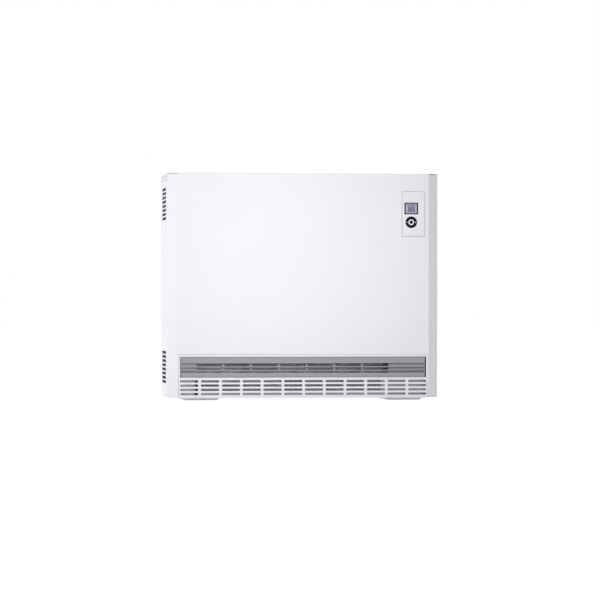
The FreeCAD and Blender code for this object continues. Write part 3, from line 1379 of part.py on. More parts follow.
def fan_bearings():
    """Four plain bearings: one in each cheek and one in each motor bracket."""
    starts = {
        "left_end": "-cheek_inner - fan_tray_sheet - (bearing_length - fan_tray_sheet) / 2",
        "left_motor": "-bracket_gap - bracket_sheet - (bearing_length - bracket_sheet) / 2",
        "right_motor": "bracket_gap - (bearing_length - bracket_sheet) / 2",
        "right_end": "cheek_inner - (bearing_length - fan_tray_sheet) / 2",
    }
    rings = []
    for name, low in starts.items():
        solid = fan_axis_rod(f"bearing_{name}", low, f"{low} + bearing_length", "bearing_radius")
        bore = fan_axis_rod(f"bearing_bore_{name}", f"{low} - seam",
                            f"{low} + bearing_length + seam", "bearing_bore")
        rings.append(cut(f"bearing_ring_{name}", solid, bore))
    return node("fan_bearings", group("bearings", *rings))


def scroll_guides():
    """A curved air guide under each wheel, with a tail to the rear and a rib on the fan tray."""
    guides = []
    inner = "(fan_radius + scroll_gap)"
    for side, low in (("left", "-wheel_end"), ("right", "fan_hub_gap")):
        high = f"{low} + fan_length"
        shell = fan_axis_rod(f"scroll_outer_{side}", low, high, f"{inner} + scroll_sheet")
        hollow = fan_axis_rod(f"scroll_hollow_{side}", f"{low} - seam", f"{high} + seam", inner)
        x = (f"fan_x + {low} - seam", f"fan_x + {high} + seam")
        reach = f"{inner} + scroll_sheet + seam"
        above = box(f"scroll_above_{side}", x, around("fan_y", reach),
                    ("fan_z - scroll_open", f"fan_z + {reach}"))
        arc = cut(f"scroll_arc_{side}", shell, hollow, above)
        rib = box(f"scroll_rib_{side}", (f"fan_x + {low}", f"fan_x + {high}"),
                  around("fan_y", "scroll_sheet"),
                  ("fan_tray_top", f"fan_z - {inner} - scroll_sheet / 2"))
        guides.append(fuse(f"scroll_guide_{side}", arc, rib))
    return node("scroll_guides", group("scrolls", *guides))


def mixing_flap():
    """The flap over the bypass window: a sheet with a rolled upper edge and two pins."""
    body = new_body("mixing_flap_body")
    pad(body, "flap_barrel_pad", "yz", "flap_left", "flap_right",
        draw_circle, "flap_y", "flap_z", "flap_barrel")
    add_block(body, "flap_blade", ("flap_left", "flap_right"),
              ("flap_y + flap_barrel - flap_sheet", "flap_y + flap_barrel"),
              ("flap_foot", "flap_z"))
    add_block(body, "flap_lip", ("flap_left", "flap_right"),
              ("flap_y - flap_barrel", "flap_y + flap_barrel"),
              ("flap_foot", "flap_foot + flap_sheet"))
    pin = "fit_gap + ear_thickness + fit_gap"
    for side, x in (("left", ("coil_left", "flap_left")),
                    ("right", ("flap_right", f"flap_right + {pin}"))):
        pad(body, f"flap_pin_{side}", "yz", *x, draw_circle, "flap_y", "flap_z", "flap_pin")
    return node("mixing_flap", body)


def bimetal_coil():
    """A flat spiral strip beside the flap's left ear, from its pin to a post on the divider."""
    width, strip, pitch = value("coil_width"), value("coil_strip"), value("coil_pitch")
    start = value("flap_pin + fit_gap")
    turns = int(value("coil_turns"))
    runs = []
    for offset in (0, strip):
        arcs = []
        for half_turn in range(2 * turns):
            radius = start + offset + half_turn * pitch / 2
            centre = Vector(0, 0 if half_turn % 2 == 0 else pitch / 2, 0)
            begin = math.pi / 2 * (1 if half_turn % 2 == 0 else -1)
            circle = Part.Circle(centre, Vector(0, 0, 1), radius)
            arcs.append(Part.ArcOfCircle(circle, begin, begin + math.pi).toShape())
        runs.append(arcs)
    inner, outer = runs
    caps = [Part.makeLine(inner[0].Vertexes[0].Point, outer[0].Vertexes[0].Point),
            Part.makeLine(inner[-1].Vertexes[-1].Point, outer[-1].Vertexes[-1].Point)]
    wire = Part.Wire(Part.__sortEdges__(inner + outer + caps))
    spiral = doc.addObject("Part::Feature", "bimetal_spiral")
    spiral.Shape = Part.Face(wire).extrude(Vector(0, 0, width))
    place(spiral, "coil_left", "flap_y", "flap_z",
          Rotation(Vector(0, 1, 0), 90))
    return node("bimetal_coil", spiral)


# ---------------------------------------------------------------- switch compartment

def corner_studs(name, start, length, y, z):
    """Four studs along X, set in from the corners of a rectangle."""
    inset = "standoff_inset"
    return [rod(f"{name}_stud_{i}{j}", "x", (start, at_y, at_z), "standoff_radius", length)
            for i, at_y in enumerate((f"{y[0]} + {inset}", f"{y[1]} - {inset}"))
            for j, at_z in enumerate((f"{z[0]} + {inset}", f"{z[1]} - {inset}"))]


def board_area():
    """The circuit board's outline, front to back and upwards."""
    return around("core_y", "board_width / 2"), ("board_low", "board_low + board_height")


def switch_plate():
    """The plate that carries the electrical parts, on studs, with holes around the bushes."""
    y = around("core_y", "plate_width / 2")
    z = ("core_bottom + plate_low", "core_bottom + plate_low + plate_height")
    plate = box("switch_sheet", ("plate_back", "plate_face"), y, z)
    studs = corner_studs("plate", "partition_face", "plate_standoff", y, z)
    studs += corner_studs("board", "plate_face", "board_standoff", *board_area())
    holes = [rod(f"plate_hole_{i}", "x", ("plate_back - seam", leg_y, leg_z),
                 "bush_radius + seam", "plate_sheet + 2 * seam")
             for i, (leg_y, leg_z) in enumerate(element_legs())]
    holes.append(rod("plate_sensor_hole", "x", ("plate_back - seam", "core_y", "sensor_z"),
                     "sensor_radius + fit_gap", "plate_sheet + 2 * seam"))
    return node("switch_plate", cut("switch_plate_cut", fuse("plate_studs", plate, *studs), *holes))


def power_board():
    y, z = board_area()
    return node("power_board", box("board", ("board_face", "board_face + board_thickness"), y, z))


def board_components():
    """Transformer, two relays, a capacitor and two plug rows on the board, a gap apart."""
    face = "board_face + board_thickness"
    y, z = board_area()
    low = f"{z[0]} + part_gap"
    lying = f"{low} + transformer_height + part_gap"
    at = f"{y[0]} + part_gap"
    blocks = []
    for name, wide, tall, deep in (
            ("transformer", "transformer_width", "transformer_height", "transformer_depth"),
            ("relay_left", "relay_width", "relay_height", "relay_width"),
            ("relay_right", "relay_width", "relay_height", "relay_width"),
            ("plug_side", "plug_height", "transformer_height", "plug_depth")):
        blocks.append(box(name, (face, f"{face} + {deep}"), (at, f"{at} + {wide}"),
                          (low, f"{low} + {tall}")))
        at = f"{at} + {wide} + part_gap"
    blocks.append(box("plug_row", (face, f"{face} + plug_depth"),
                      (f"{y[0]} + part_gap", f"{y[0]} + part_gap + plug_length"),
                      (lying, f"{lying} + plug_height")))
    blocks.append(rod("capacitor", "x",
                      (face, f"{at} + capacitor_radius", f"{low} + capacitor_radius"),
                      "capacitor_radius", "capacitor_length"))
    return node("board_components", group("components", *blocks))


def terminal_block():
    """A row of mains terminals, each with its screw well."""
    low_y, low_z = "terminal_y", "terminal_low"
    count = int(value("terminal_count"))
    block = box("terminal_body", ("plate_face", "plate_face + terminal_depth"),
                (low_y, f"{low_y} + terminal_count * terminal_pitch"),
                (low_z, f"{low_z} + terminal_height"))
    wells = [rod(f"terminal_well_{i}_{level}", "x",
                 ("plate_face + terminal_depth / 2", f"{low_y} + {i + 0.5} * terminal_pitch", at),
                 "terminal_pitch / 4", "terminal_depth")
             for i in range(count)
             for level, at in enumerate((f"{low_z} + terminal_height / 4",
                                         f"{low_z} + terminal_height * 3 / 4"))]
    return node("terminal_block", cut("terminal_cut", block, *wells))


def safety_cutout():
    """A round temperature cutout with a reset button in its middle, on the switch plate."""
    spot = ("cutout_y", "cutout_z")
    can = rod("cutout_can", "x", ("plate_face", *spot), "cutout_radius", "cutout_depth")
    bore = rod("cutout_bore", "x", ("plate_face + seam", *spot),
               "button_radius + pin_play", "cutout_depth")
    node("safety_cutout", cut("cutout_cut", can, bore))
    start = "plate_face + seam + button_travel + fit_gap"
    node("reset_button", rod("button", "x", (start, *spot), "button_radius", "button_length"))


def core_sensor():
    """A sensor tube that reaches from the jacket through the insulation and the partition."""
    length = "partition_face + sensor_reach - jacket_right - fit_gap"
    return node("core_sensor", rod("sensor_tube", "x", ("jacket_right + fit_gap", "core_y",
                                                        "sensor_z"), "sensor_radius", length))


def cable_gland():
    """The screwed gland where the supply enters: nut inside, collar and neck outside."""
    start = "rear_face - gland_inside"
    length = "gland_inside + panel_thickness + gland_outside"
    thread = rod("gland_thread", "y", ("gland_x", start, "gland_z"), "gland_radius", length)
    nut = rod("gland_nut", "y", ("gland_x", "rear_face - gland_flange", "gland_z"),
              "gland_radius + gland_flange", "gland_flange")
    collar = rod("gland_collar", "y", ("gland_x", "back", "gland_z"),
                 "gland_radius + gland_flange", "gland_flange")
    bore = rod("gland_hole", "y", ("gland_x", start + " - seam", "gland_z"),
               "gland_bore", length + " + 2 * seam")
    return node("cable_gland", cut("gland_cut", fuse("gland", thread, nut, collar), bore))


# ---------------------------------------------------------------- control unit

def control_bezel():
    """The control panel: a flush plate with a hidden rim, a display opening and a ring opening."""
    body = new_body("control_bezel_body")
    pad(body, "bezel_plate", "xz", "control_face", "control_back", draw_polygon,
        rectangle(around("control_x", "control_width / 2"),
                  around("control_z", "control_height / 2")))
    pad(body, "bezel_rim", "xz", "front + panel_thickness + fit_gap", "control_back",
        draw_polygon, rectangle(around("control_x", "control_width / 2 + control_rim"),
                                around("control_z", "control_height / 2 + control_rim")))
    through = ("control_face - seam", "control_back + seam")
    pocket(body, "display_opening", "xz", *through, draw_polygon,
           rectangle(around("key_x", "display_width / 2 + seam_play"),
                     around("display_z", "display_height / 2 + seam_play")))
    pocket(body, "ring_opening", "xz", *through, draw_circle,
           "key_x", "ring_z", "ring_radius + ring_play")
    return node("control_bezel", body)


def display():
    """The display's window, with the liquid crystal cell and its board behind."""
    wide = around("key_x", "display_width / 2")
    tall = around("display_z", "display_height / 2")
    node("display_window", box("lens", wide, ("control_face", "control_face + lens_thickness"),
                               tall))
    start = "control_face + lens_thickness"
    cell = box("cell", wide, (start, f"{start} + glass_thickness"), tall)
    board = box("display_board", around("key_x", "display_width / 2 + module_margin"),
                (f"{start} + glass_thickness", f"{start} + glass_thickness + board_thickness"),
                around("display_z", "display_height / 2 + module_margin"))
    node("display_module", group("display_parts", cell, board))


def control_ring():
    """The rocker ring, with a short skirt and a pivot pin above and below."""
    back = "control_face + ring_thickness"
    face = rod("ring_face", "y", ("key_x", "control_face", "ring_z"), "ring_radius",
               "ring_thickness + 2 * ring_pin")
    hole = rod("ring_hole_cut", "y", ("key_x", "control_face - seam", "ring_z"), "ring_hole",
               "ring_thickness + 2 * ring_pin + 2 * seam")
    pins = rod("ring_pins", "z", ("key_x", f"{back} + ring_pin", "ring_z - ring_pin_reach"),
               "ring_pin", "2 * ring_pin_reach")
    return node("control_ring", cut("ring_cut", fuse("ring_solid", face, pins), hole))


def ok_key():
    """The centre key on its stem."""
    cap = rod("key_cap", "y", ("key_x", "control_face", "ring_z"), "key_radius", "key_length")
    stem = rod("key_stem", "y", ("key_x", "control_face + key_length", "ring_z"),
               "stem_radius", "stem_length")
    return node("ok_key", fuse("key", cap, stem))


def control_housing():
    """The box behind the control panel, with the stem's boss and the ring's pivot blocks."""
    x = around("control_x", "control_width / 2")
    z = around("control_z", "control_height / 2")
    rear = "control_back + housing_depth"
    shell = box("housing_outer", x, ("control_back", rear), z)
    hollow = box("housing_hollow", around("control_x", "control_width / 2 - housing_wall"),
                 ("control_back - seam", f"{rear} - housing_wall"),
                 around("control_z", "control_height / 2 - housing_wall"))
    slot = box("housing_slot", around("control_x", "control_width / 4"),
               (f"{rear} - 2 * housing_wall - seam", f"{rear} + seam"),
               around("control_z - control_height * 0.42", "housing_wall * 2"))
    walls = cut("housing_walls", shell, hollow, slot)
    boss_face = "control_face + key_length + key_travel + 2 * fit_gap"
    boss = rod("stem_boss", "y", ("key_x", boss_face, "ring_z"), "stem_radius + boss_wall",
               f"({rear}) - ({boss_face})")
    pivot_y = "control_face + ring_thickness + ring_pin"
    blocks = [box(f"pivot_block_{side}", around("key_x", "pivot_block"),
                  (f"{pivot_y} - pivot_block / 2", rear),
                  (f"ring_z + ({low})", f"ring_z + ({low}) + pivot_block"))
              for side, low in (("low", "-(ring_radius + ring_play + pivot_block)"),
                                ("high", "ring_radius + ring_play"))]
    solid = fuse("housing_solid", walls, boss, *blocks)
    stem_bore = rod("stem_bore", "y", ("key_x", f"{boss_face} - seam", "ring_z"),
                    "stem_radius + pin_play", f"({rear}) - ({boss_face}) + 2 * seam")
    pin_bore = rod("pin_bore", "z", ("key_x", pivot_y, "ring_z - 2 * ring_radius"),
                   "ring_pin + pin_play", "4 * ring_radius")
    return node("control_housing", cut("housing_cut", solid, stem_bore, pin_bore))


# ---------------------------------------------------------------- fasteners

def screw(name, axis, under_head, outward):
    """A pan-head screw: its head lies outward of a point, its shank inward."""
    step = {"x": 0, "y": 1, "z": 2}[axis]
    head_from, shank_from = list(under_head), list(under_head)
    if outward > 0:
        shank_from[step] = f"{under_head[step]} - screw_length"
    else:
        head_from[step] = f"{under_head[step]} - screw_head_height"
    head = rod(name + "_head", axis, head_from, "screw_head", "screw_head_height")
    shank = rod(name + "_shank", axis, shank_from, "screw_shank", "screw_length")
    return fuse(name, head, shank)


def casing_screws():
    """The screws in the casing's rear corners, and those through the tray into the feet."""
    screws = []
    for side, x in (("left", "-rear_screw_x"), ("right", "rear_screw_x")):
        screws += [screw(f"rear_screw_{side}_{i}", "y", (x, "back", z), 1)
                   for i, z in enumerate(REAR_SCREWS)]
    screws += [screw(f"foot_screw_{i}", "z", (x, y, "tray_top"), 1)
               for i, (x, y) in enumerate(foot_screw_spots())]
    return node("casing_screws", group("screws", *screws))


def outlet_grille_screw():
    return node("outlet_grille_screw",
                screw("grille_screw", "y", ("grille_screw_x", "grille_front", "grille_screw_z"), -1))


def panel_catches():
    """Two spring clips on the shelf's flange that hold the service panel's top fold."""
    clips = []
    for side, x in (("left", "-catch_x"), ("right", "catch_x")):
        span = around(x, "catch_width / 2")
        top = "panel_top - panel_thickness - catch_gap"
        leg = box(f"catch_leg_{side}", span, ("inner_wall_front - catch_sheet",
                                              "inner_wall_front"),
                  (f"{top} - catch_leg", top))
        finger = box(f"catch_finger_{side}", span,
                     ("inner_wall_front - catch_finger", "inner_wall_front"),
                     (f"{top} - catch_sheet", top))
        clips.append(fuse(f"catch_{side}", leg, finger))
    return node("panel_catches", group("catches", *clips))


# ---------------------------------------------------------------- build, check and write

def build():
    fill_sheet()
    front_panel()
    top_cover()
    side_panels()
    rear_panel()
    wall_spacers()
    base_tray()
    foot("left_foot", "-foot_x")
    foot("right_foot", "foot_x")
    front_inner_wall()
    inner_side_walls()
    core_shelf()
    support_walls()
    air_divider()
    insulation()
    core_jacket()
    brick_columns()
    heating_elements()
    element_bushes()
    outlet_grille()
    outlet_grille_screw()
    lower_grille_panel()
    lint_filter()
    fan_tray()
    impellers()
    fan_shaft()
    motor()
    fan_bearings()
    scroll_guides()
    mixing_flap()
    bimetal_coil()
    switch_plate()
    power_board()
    board_components()
    terminal_block()
    safety_cutout()
    core_sensor()
    cable_gland()
    control_bezel()
    display()
    control_ring()
    ok_key()
    control_housing()
    casing_screws()
    panel_catches()
    doc.recompute()


def check():
    """Stops when a feature failed or a sub-part has no sound shape."""
    for thing in doc.Objects:
        if "Invalid" in thing.State or "Error" in thing.State:
            raise RuntimeError(f"{thing.Name} failed: {thing.State}")
    for name, thing in nodes.items():
        shape = thing.Shape
        if shape.isNull() or not shape.isValid() or not shape.Solids:
            raise RuntimeError(f"{name} has no sound shape")


def write():
    os.makedirs("parts", exist_ok=True)
    for name, thing in nodes.items():
        thing.Shape.exportStep(f"parts/{name}.step")


build()
check()
write()
print(f"{len(nodes)} sub-parts")
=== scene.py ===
import json
import math

import bmesh
import bpy
from mathutils import Matrix, Vector


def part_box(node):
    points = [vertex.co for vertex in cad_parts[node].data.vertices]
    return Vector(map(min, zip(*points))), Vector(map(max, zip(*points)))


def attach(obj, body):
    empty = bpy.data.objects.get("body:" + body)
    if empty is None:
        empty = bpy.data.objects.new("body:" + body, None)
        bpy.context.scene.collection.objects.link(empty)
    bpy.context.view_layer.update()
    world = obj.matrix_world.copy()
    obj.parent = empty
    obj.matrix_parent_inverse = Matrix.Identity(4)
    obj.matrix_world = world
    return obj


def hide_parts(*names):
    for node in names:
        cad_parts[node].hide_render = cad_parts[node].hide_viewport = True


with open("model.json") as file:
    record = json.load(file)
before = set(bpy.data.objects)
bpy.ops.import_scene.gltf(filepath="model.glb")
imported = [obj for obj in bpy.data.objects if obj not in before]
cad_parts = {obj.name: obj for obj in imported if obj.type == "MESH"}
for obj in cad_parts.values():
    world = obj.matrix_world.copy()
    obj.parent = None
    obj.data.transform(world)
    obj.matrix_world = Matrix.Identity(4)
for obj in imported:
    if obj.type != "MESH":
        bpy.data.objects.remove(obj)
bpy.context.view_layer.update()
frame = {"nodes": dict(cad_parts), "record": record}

MM = 0.001
NODES = frame["nodes"]
FRONTWARD, BACKWARD, UPWARD = (0, -1, 0), (0, 1, 0), (0, 0, 1)


# ---------------------------------------------------------------- shader nodes

def seen_rays(tree):
    """1 for rays from the camera and for those seen in reflections and through glass."""
    rays = tree.nodes.new("ShaderNodeLightPath")
    seen = rays.outputs["Is Camera Ray"]
    for kind in ("Is Glossy Ray", "Is Transmission Ray"):
        either = tree.nodes.new("ShaderNodeMath")
        either.operation = "MAXIMUM"
        tree.links.new(seen, either.inputs[0])
        tree.links.new(rays.outputs[kind], either.inputs[1])
        seen = either.outputs[0]
    return seen


class Finish:
    """A material built from shader nodes, textured in the object's own metres.

    Texture scales are in cycles per metre, and relief heights in metres.
    """

    MIX_FIRST, MIX_SECOND, MIX_RESULT = 6, 7, 2  # the Mix node's sockets for colours
    EVEN = (1, 1, 1)  # a texture that isn't stretched

    def __init__(self, name, colour, roughness, metallic=0.0):
        self.material = bpy.data.materials.new(name)
        self.material.use_nodes = True
        self.tree = self.material.node_tree
        self.shader = self.tree.nodes["Principled BSDF"]
        self.colour = colour
        self.set(Base_Color=(*colour, 1), Roughness=roughness, Metallic=metallic)
        self.coords = self.tree.nodes.new("ShaderNodeTexCoord").outputs["Object"]
        self.normal = None

    def set(self, **values):
        """Sets the shader's own sockets."""
        for name, value in values.items():
            self.shader.inputs[name.replace("_", " ")].default_value = value
        return self

    def node(self, kind, **values):
        """A new node with the values of its sockets, or else of its settings."""
        made = self.tree.nodes.new(kind)
        for name, value in values.items():
            socket = name.replace("_", " ")
            if socket in made.inputs:
                made.inputs[socket].default_value = value
            else:
                setattr(made, name, value)
        return made

    def link(self, source, node, socket):
        self.tree.links.new(source, node.inputs[socket])

    def place(self, stretch):
        """The object's coordinates, stretched along its axes."""
        if stretch == self.EVEN:
            return self.coords
        mapping = self.node("ShaderNodeMapping", Scale=stretch)
        self.link(self.coords, mapping, "Vector")
        return mapping.outputs["Vector"]

    def noise(self, scale, detail, stretch=EVEN):
        texture = self.node("ShaderNodeTexNoise", Scale=scale, Detail=detail)
        self.link(self.place(stretch), texture, "Vector")
        return texture.outputs["Fac"]

    def cells(self, scale, output="Distance", feature="F1"):
        texture = self.node("ShaderNodeTexVoronoi", feature=feature, Scale=scale)
        self.link(self.coords, texture, "Vector")
        return texture.outputs[output]

    def waves(self, scale, axis, distortion=0.0):
        texture = self.node("ShaderNodeTexWave", bands_direction=axis, Scale=scale,
                            Distortion=distortion)
        self.link(self.coords, texture, "Vector")
        return texture.outputs["Fac"]

    def spread(self, factor, low=0.0, high=1.0, start=0.0, end=1.0):
        """Maps a texture's values from start..end to low..high."""
        ramp = self.node("ShaderNodeMapRange", From_Min=start, From_Max=end,
                         To_Min=low, To_Max=high)
        self.link(factor, ramp, "Value")
        return ramp.outputs["Result"]

    def tint(self, factor, other):
        """Blends the colour toward another one where the factor is 1."""
        mix = self.node("ShaderNodeMix", data_type="RGBA")
        self.link(factor, mix, "Factor")
        socket = self.shader.inputs["Base Color"]
        if socket.links:
            self.link(socket.links[0].from_socket, mix, self.MIX_FIRST)
        else:
            mix.inputs[self.MIX_FIRST].default_value = (*self.colour, 1)
        mix.inputs[self.MIX_SECOND].default_value = (*other, 1)
        self.tree.links.new(mix.outputs[self.MIX_RESULT], socket)
        return self

    def shade(self, factor, amount):
        """Darkens the colour by an amount where the factor is 1."""
        return self.tint(factor, tuple(c * (1 - amount) for c in self.colour))

    def zone(self, low, high, soft=0.8 * MM):
        """1 between two heights and 0 beyond them."""
        split = self.node("ShaderNodeSeparateXYZ")
        self.link(self.coords, split, "Vector")
        height = split.outputs["Z"]
        both = self.node("ShaderNodeMath", operation="MULTIPLY")
        self.link(self.spread(height, 0.0, 1.0, low - soft, low + soft), both, 0)
        self.link(self.spread(height, 1.0, 0.0, high - soft, high + soft), both, 1)
        return both.outputs[0]

    def painted_crevice_shade(self, amount, reach=4.0 * MM):
        """Painted shade: darkens the colour in seams, folds and pressed beads, where faces stand
        closer than the reach.
        """
        closed, open_face = 0.4, 0.9
        # ambient occlusion turned into painted shade: the colour darkens where nearby faces would
        # cast shade
        around = self.node("ShaderNodeAmbientOcclusion", samples=12, Distance=reach)
        return self.shade(self.spread(around.outputs["AO"], 1.0, 0.0, closed, open_face), amount)

    def rough(self, factor, low, high):
        self.link(self.spread(factor, low, high), self.shader, "Roughness")
        return self

    def bump(self, factor, height, strength=0.5):
        """Adds relief of a height."""
        relief = self.node("ShaderNodeBump", Strength=strength, Distance=height)
        self.link(factor, relief, "Height")
        if self.normal:
            self.link(self.normal, relief, "Normal")
        self.normal = relief.outputs["Normal"]
        self.link(self.normal, self.shader, "Normal")
        return self


# ---------------------------------------------------------------- finishes

def powder_coat(name, colour, roughness, metallic=0.0, joints=0.0, painted_light_band=None):
    """Satin powder coat: a fine orange peel and a faint cloudiness.

    The crevice amount is how much painted shade darkens its creases. The band is (low, high,
    colour) in height: a lighter colour painted on as light.
    """
    clouds, specks, gloss, peel, grit = 5.0, 2600.0, 420.0, 620.0, 2400.0
    f = Finish(name, colour, roughness, metallic)
    # painted light: a lighter colour over a band of heights
    if painted_light_band:
        low, high, other = painted_light_band
        f.tint(f.zone(low, high), other)
    f.shade(f.spread(f.noise(clouds, 4.0), start=0.3, end=0.7), 0.018)
    f.shade(f.spread(f.noise(specks, 1.0), start=0.45, end=0.75), 0.02)
    f.rough(f.noise(gloss, 3.0), roughness - 0.05, roughness + 0.06)
    f.bump(f.noise(peel, 2.0), 0.12 * MM, 0.28)
    f.bump(f.noise(grit, 1.0), 0.04 * MM, 0.22)
    # painted shade in the creases
    if joints:
        f.painted_crevice_shade(joints)
    return f.set(Specular_IOR_Level=0.42)


def moulded(name, colour, roughness, grain=2200.0, relief=0.03 * MM, gloss=0.5, joints=0.6):
    """Moulded plastic with a fine spark-eroded grain, and painted shade in its creases."""
    clouds, patches = 18.0, 900.0
    f = Finish(name, colour, roughness)
    f.shade(f.spread(f.noise(clouds, 3.0), start=0.35, end=0.75), 0.05)
    f.rough(f.noise(patches, 2.0), roughness - 0.04, roughness + 0.06)
    f.bump(f.noise(grain, 2.0), relief, 0.35)
    f.painted_crevice_shade(joints)
    return f.set(Specular_IOR_Level=gloss)


def galvanised(name, light, dark):
    """Zinc-coated sheet: angular crystal spangles of uneven grey."""
    spangles, clouds, lines = 95.0, 24.0, 1500.0
    f = Finish(name, light, 0.42, 0.85)
    f.tint(f.spread(f.cells(spangles, "Color"), start=0.15, end=0.85), dark)
    f.shade(f.spread(f.noise(clouds, 4.0), start=0.4, end=0.7), 0.12)
    f.rough(f.cells(spangles, "Color"), 0.38, 0.52)
    f.bump(f.noise(lines, 2.0, (1, 1, 0.15)), 0.03 * MM, 0.25)
    return f


def brushed(name, colour, roughness, metallic=1.0, stretch=(0.05, 1, 1), lines=1400.0):
    """Rolled or drawn metal with fine lines along one axis."""
    clouds = 16.0
    f = Finish(name, colour, roughness, metallic)
    f.shade(f.spread(f.noise(lines, 3.0, stretch), start=0.35, end=0.7), 0.16)
    f.shade(f.spread(f.noise(clouds, 4.0), start=0.45, end=0.75), 0.10)
    f.rough(f.noise(lines * 0.6, 2.0, stretch), roughness - 0.07, roughness + 0.1)
    f.bump(f.noise(lines, 2.0, stretch), 0.03 * MM, 0.35)
    return f


def stone(name):
    """Pressed ore bricks: dark, coarse and speckled."""
    clouds, grains, lumps, pores = 60.0, 700.0, 260.0, 900.0
    f = Finish(name, (0.21, 0.15, 0.115), 0.92)
    f.tint(f.spread(f.noise(clouds, 6.0), 0.0, 0.7, 0.4, 0.75), (0.11, 0.085, 0.075))
    f.tint(f.spread(f.cells(grains), 0.8, 0.0, 0.0, 0.25), (0.42, 0.36, 0.30))
    f.bump(f.noise(lumps, 8.0), 0.8 * MM, 0.6)
    f.bump(f.cells(pores), 0.2 * MM, 0.5)
    return f


def fibre_board(name):
    """Pressed insulation: matt, with short lying fibres and dust."""
    fibres, dust, matting = 900.0, 35.0, 700.0
    f = Finish(name, (0.72, 0.70, 0.65), 0.97)
    lying = f.spread(f.noise(fibres, 4.0, (1, 1, 0.18)), 0.0, 0.8, 0.45, 0.7)
    f.tint(lying, (0.56, 0.53, 0.47))
    f.shade(f.spread(f.noise(dust, 5.0), start=0.4, end=0.7), 0.10)
    f.bump(f.noise(matting, 6.0, (1, 1, 0.3)), 0.4 * MM, 0.6)
    return f


def circuit_board(name):
    """Solder mask over copper: darker laminate with faint raised tracks."""
    lanes, clouds = 260.0, 90.0
    f = Finish(name, (0.03, 0.17, 0.075), 0.35)
    tracks = f.spread(f.cells(lanes, feature="DISTANCE_TO_EDGE"), 1.0, 0.0, 0.02, 0.09)
    f.tint(tracks, (0.07, 0.30, 0.13))
    f.shade(f.noise(clouds, 3.0), 0.25)
    f.bump(tracks, 0.04 * MM, 0.4)
    return f.set(Coat_Weight=0.4, Coat_Roughness=0.2)


def winding(name):
    """An enamelled copper coil under varnished tape."""
    f = Finish(name, (0.42, 0.15, 0.05), 0.38)
    turns = f.waves(1900.0, "Z", distortion=0.6)
    f.shade(turns, 0.45)
    f.bump(turns, 0.15 * MM, 0.6)
    return f.set(Coat_Weight=0.5, Coat_Roughness=0.25)


def laminated(name):
    """Stacked core sheets: thin layers across the shaft's axis."""
    f = Finish(name, (0.22, 0.22, 0.23), 0.5, 0.8)
    layers = f.waves(630.0, "X")
    f.shade(layers, 0.35)
    f.shade(f.noise(120.0, 4.0), 0.3)
    f.bump(layers, 0.1 * MM, 0.6)
    return f


def crystal_screen(name, colour):
    """A backlit liquid crystal with a fine dot grid, unevenly bright."""
    dots, clouds, dot_shade = 520.0, 45.0, 0.12
    f = Finish(name, colour, 0.22)
    for axis in ("Z", "X"):
        f.shade(f.spread(f.waves(dots, axis), 0.0, dot_shade), 0.6)
    f.shade(f.spread(f.noise(clouds, 2.0), 0.0, 0.4, 0.35, 0.75), 0.3)
    return f.set(Coat_Weight=0.7, Coat_Roughness=0.08)


def gauze(name):
    """Fine woven wire of dull steel."""
    stains, grain = 1400.0, 5200.0
    f = Finish(name, (0.33, 0.315, 0.35), 0.55, 0.3)
    f.shade(f.noise(stains, 2.0), 0.3)
    f.bump(f.noise(grain, 2.0), 0.02 * MM, 0.3)
    return f


def clear_glass(name):
    """The display's thin clear cover."""
    f = Finish(name, (0.92, 0.94, 1.0), 0.06)
    f.rough(f.noise(300.0, 2.0), 0.04, 0.1)
    return f.set(Transmission_Weight=1.0, IOR=1.46)


WHITE = (0.88, 0.853, 0.898)
# painted light: the louvre faces between these heights are painted lighter, standing in for the
# light their bent edges catch
LOUVRE_PAINTED_LIGHT = (75.5 * MM, 106.5 * MM, (0.47, 0.45, 0.49))  # low, high and colour of the louvre faces

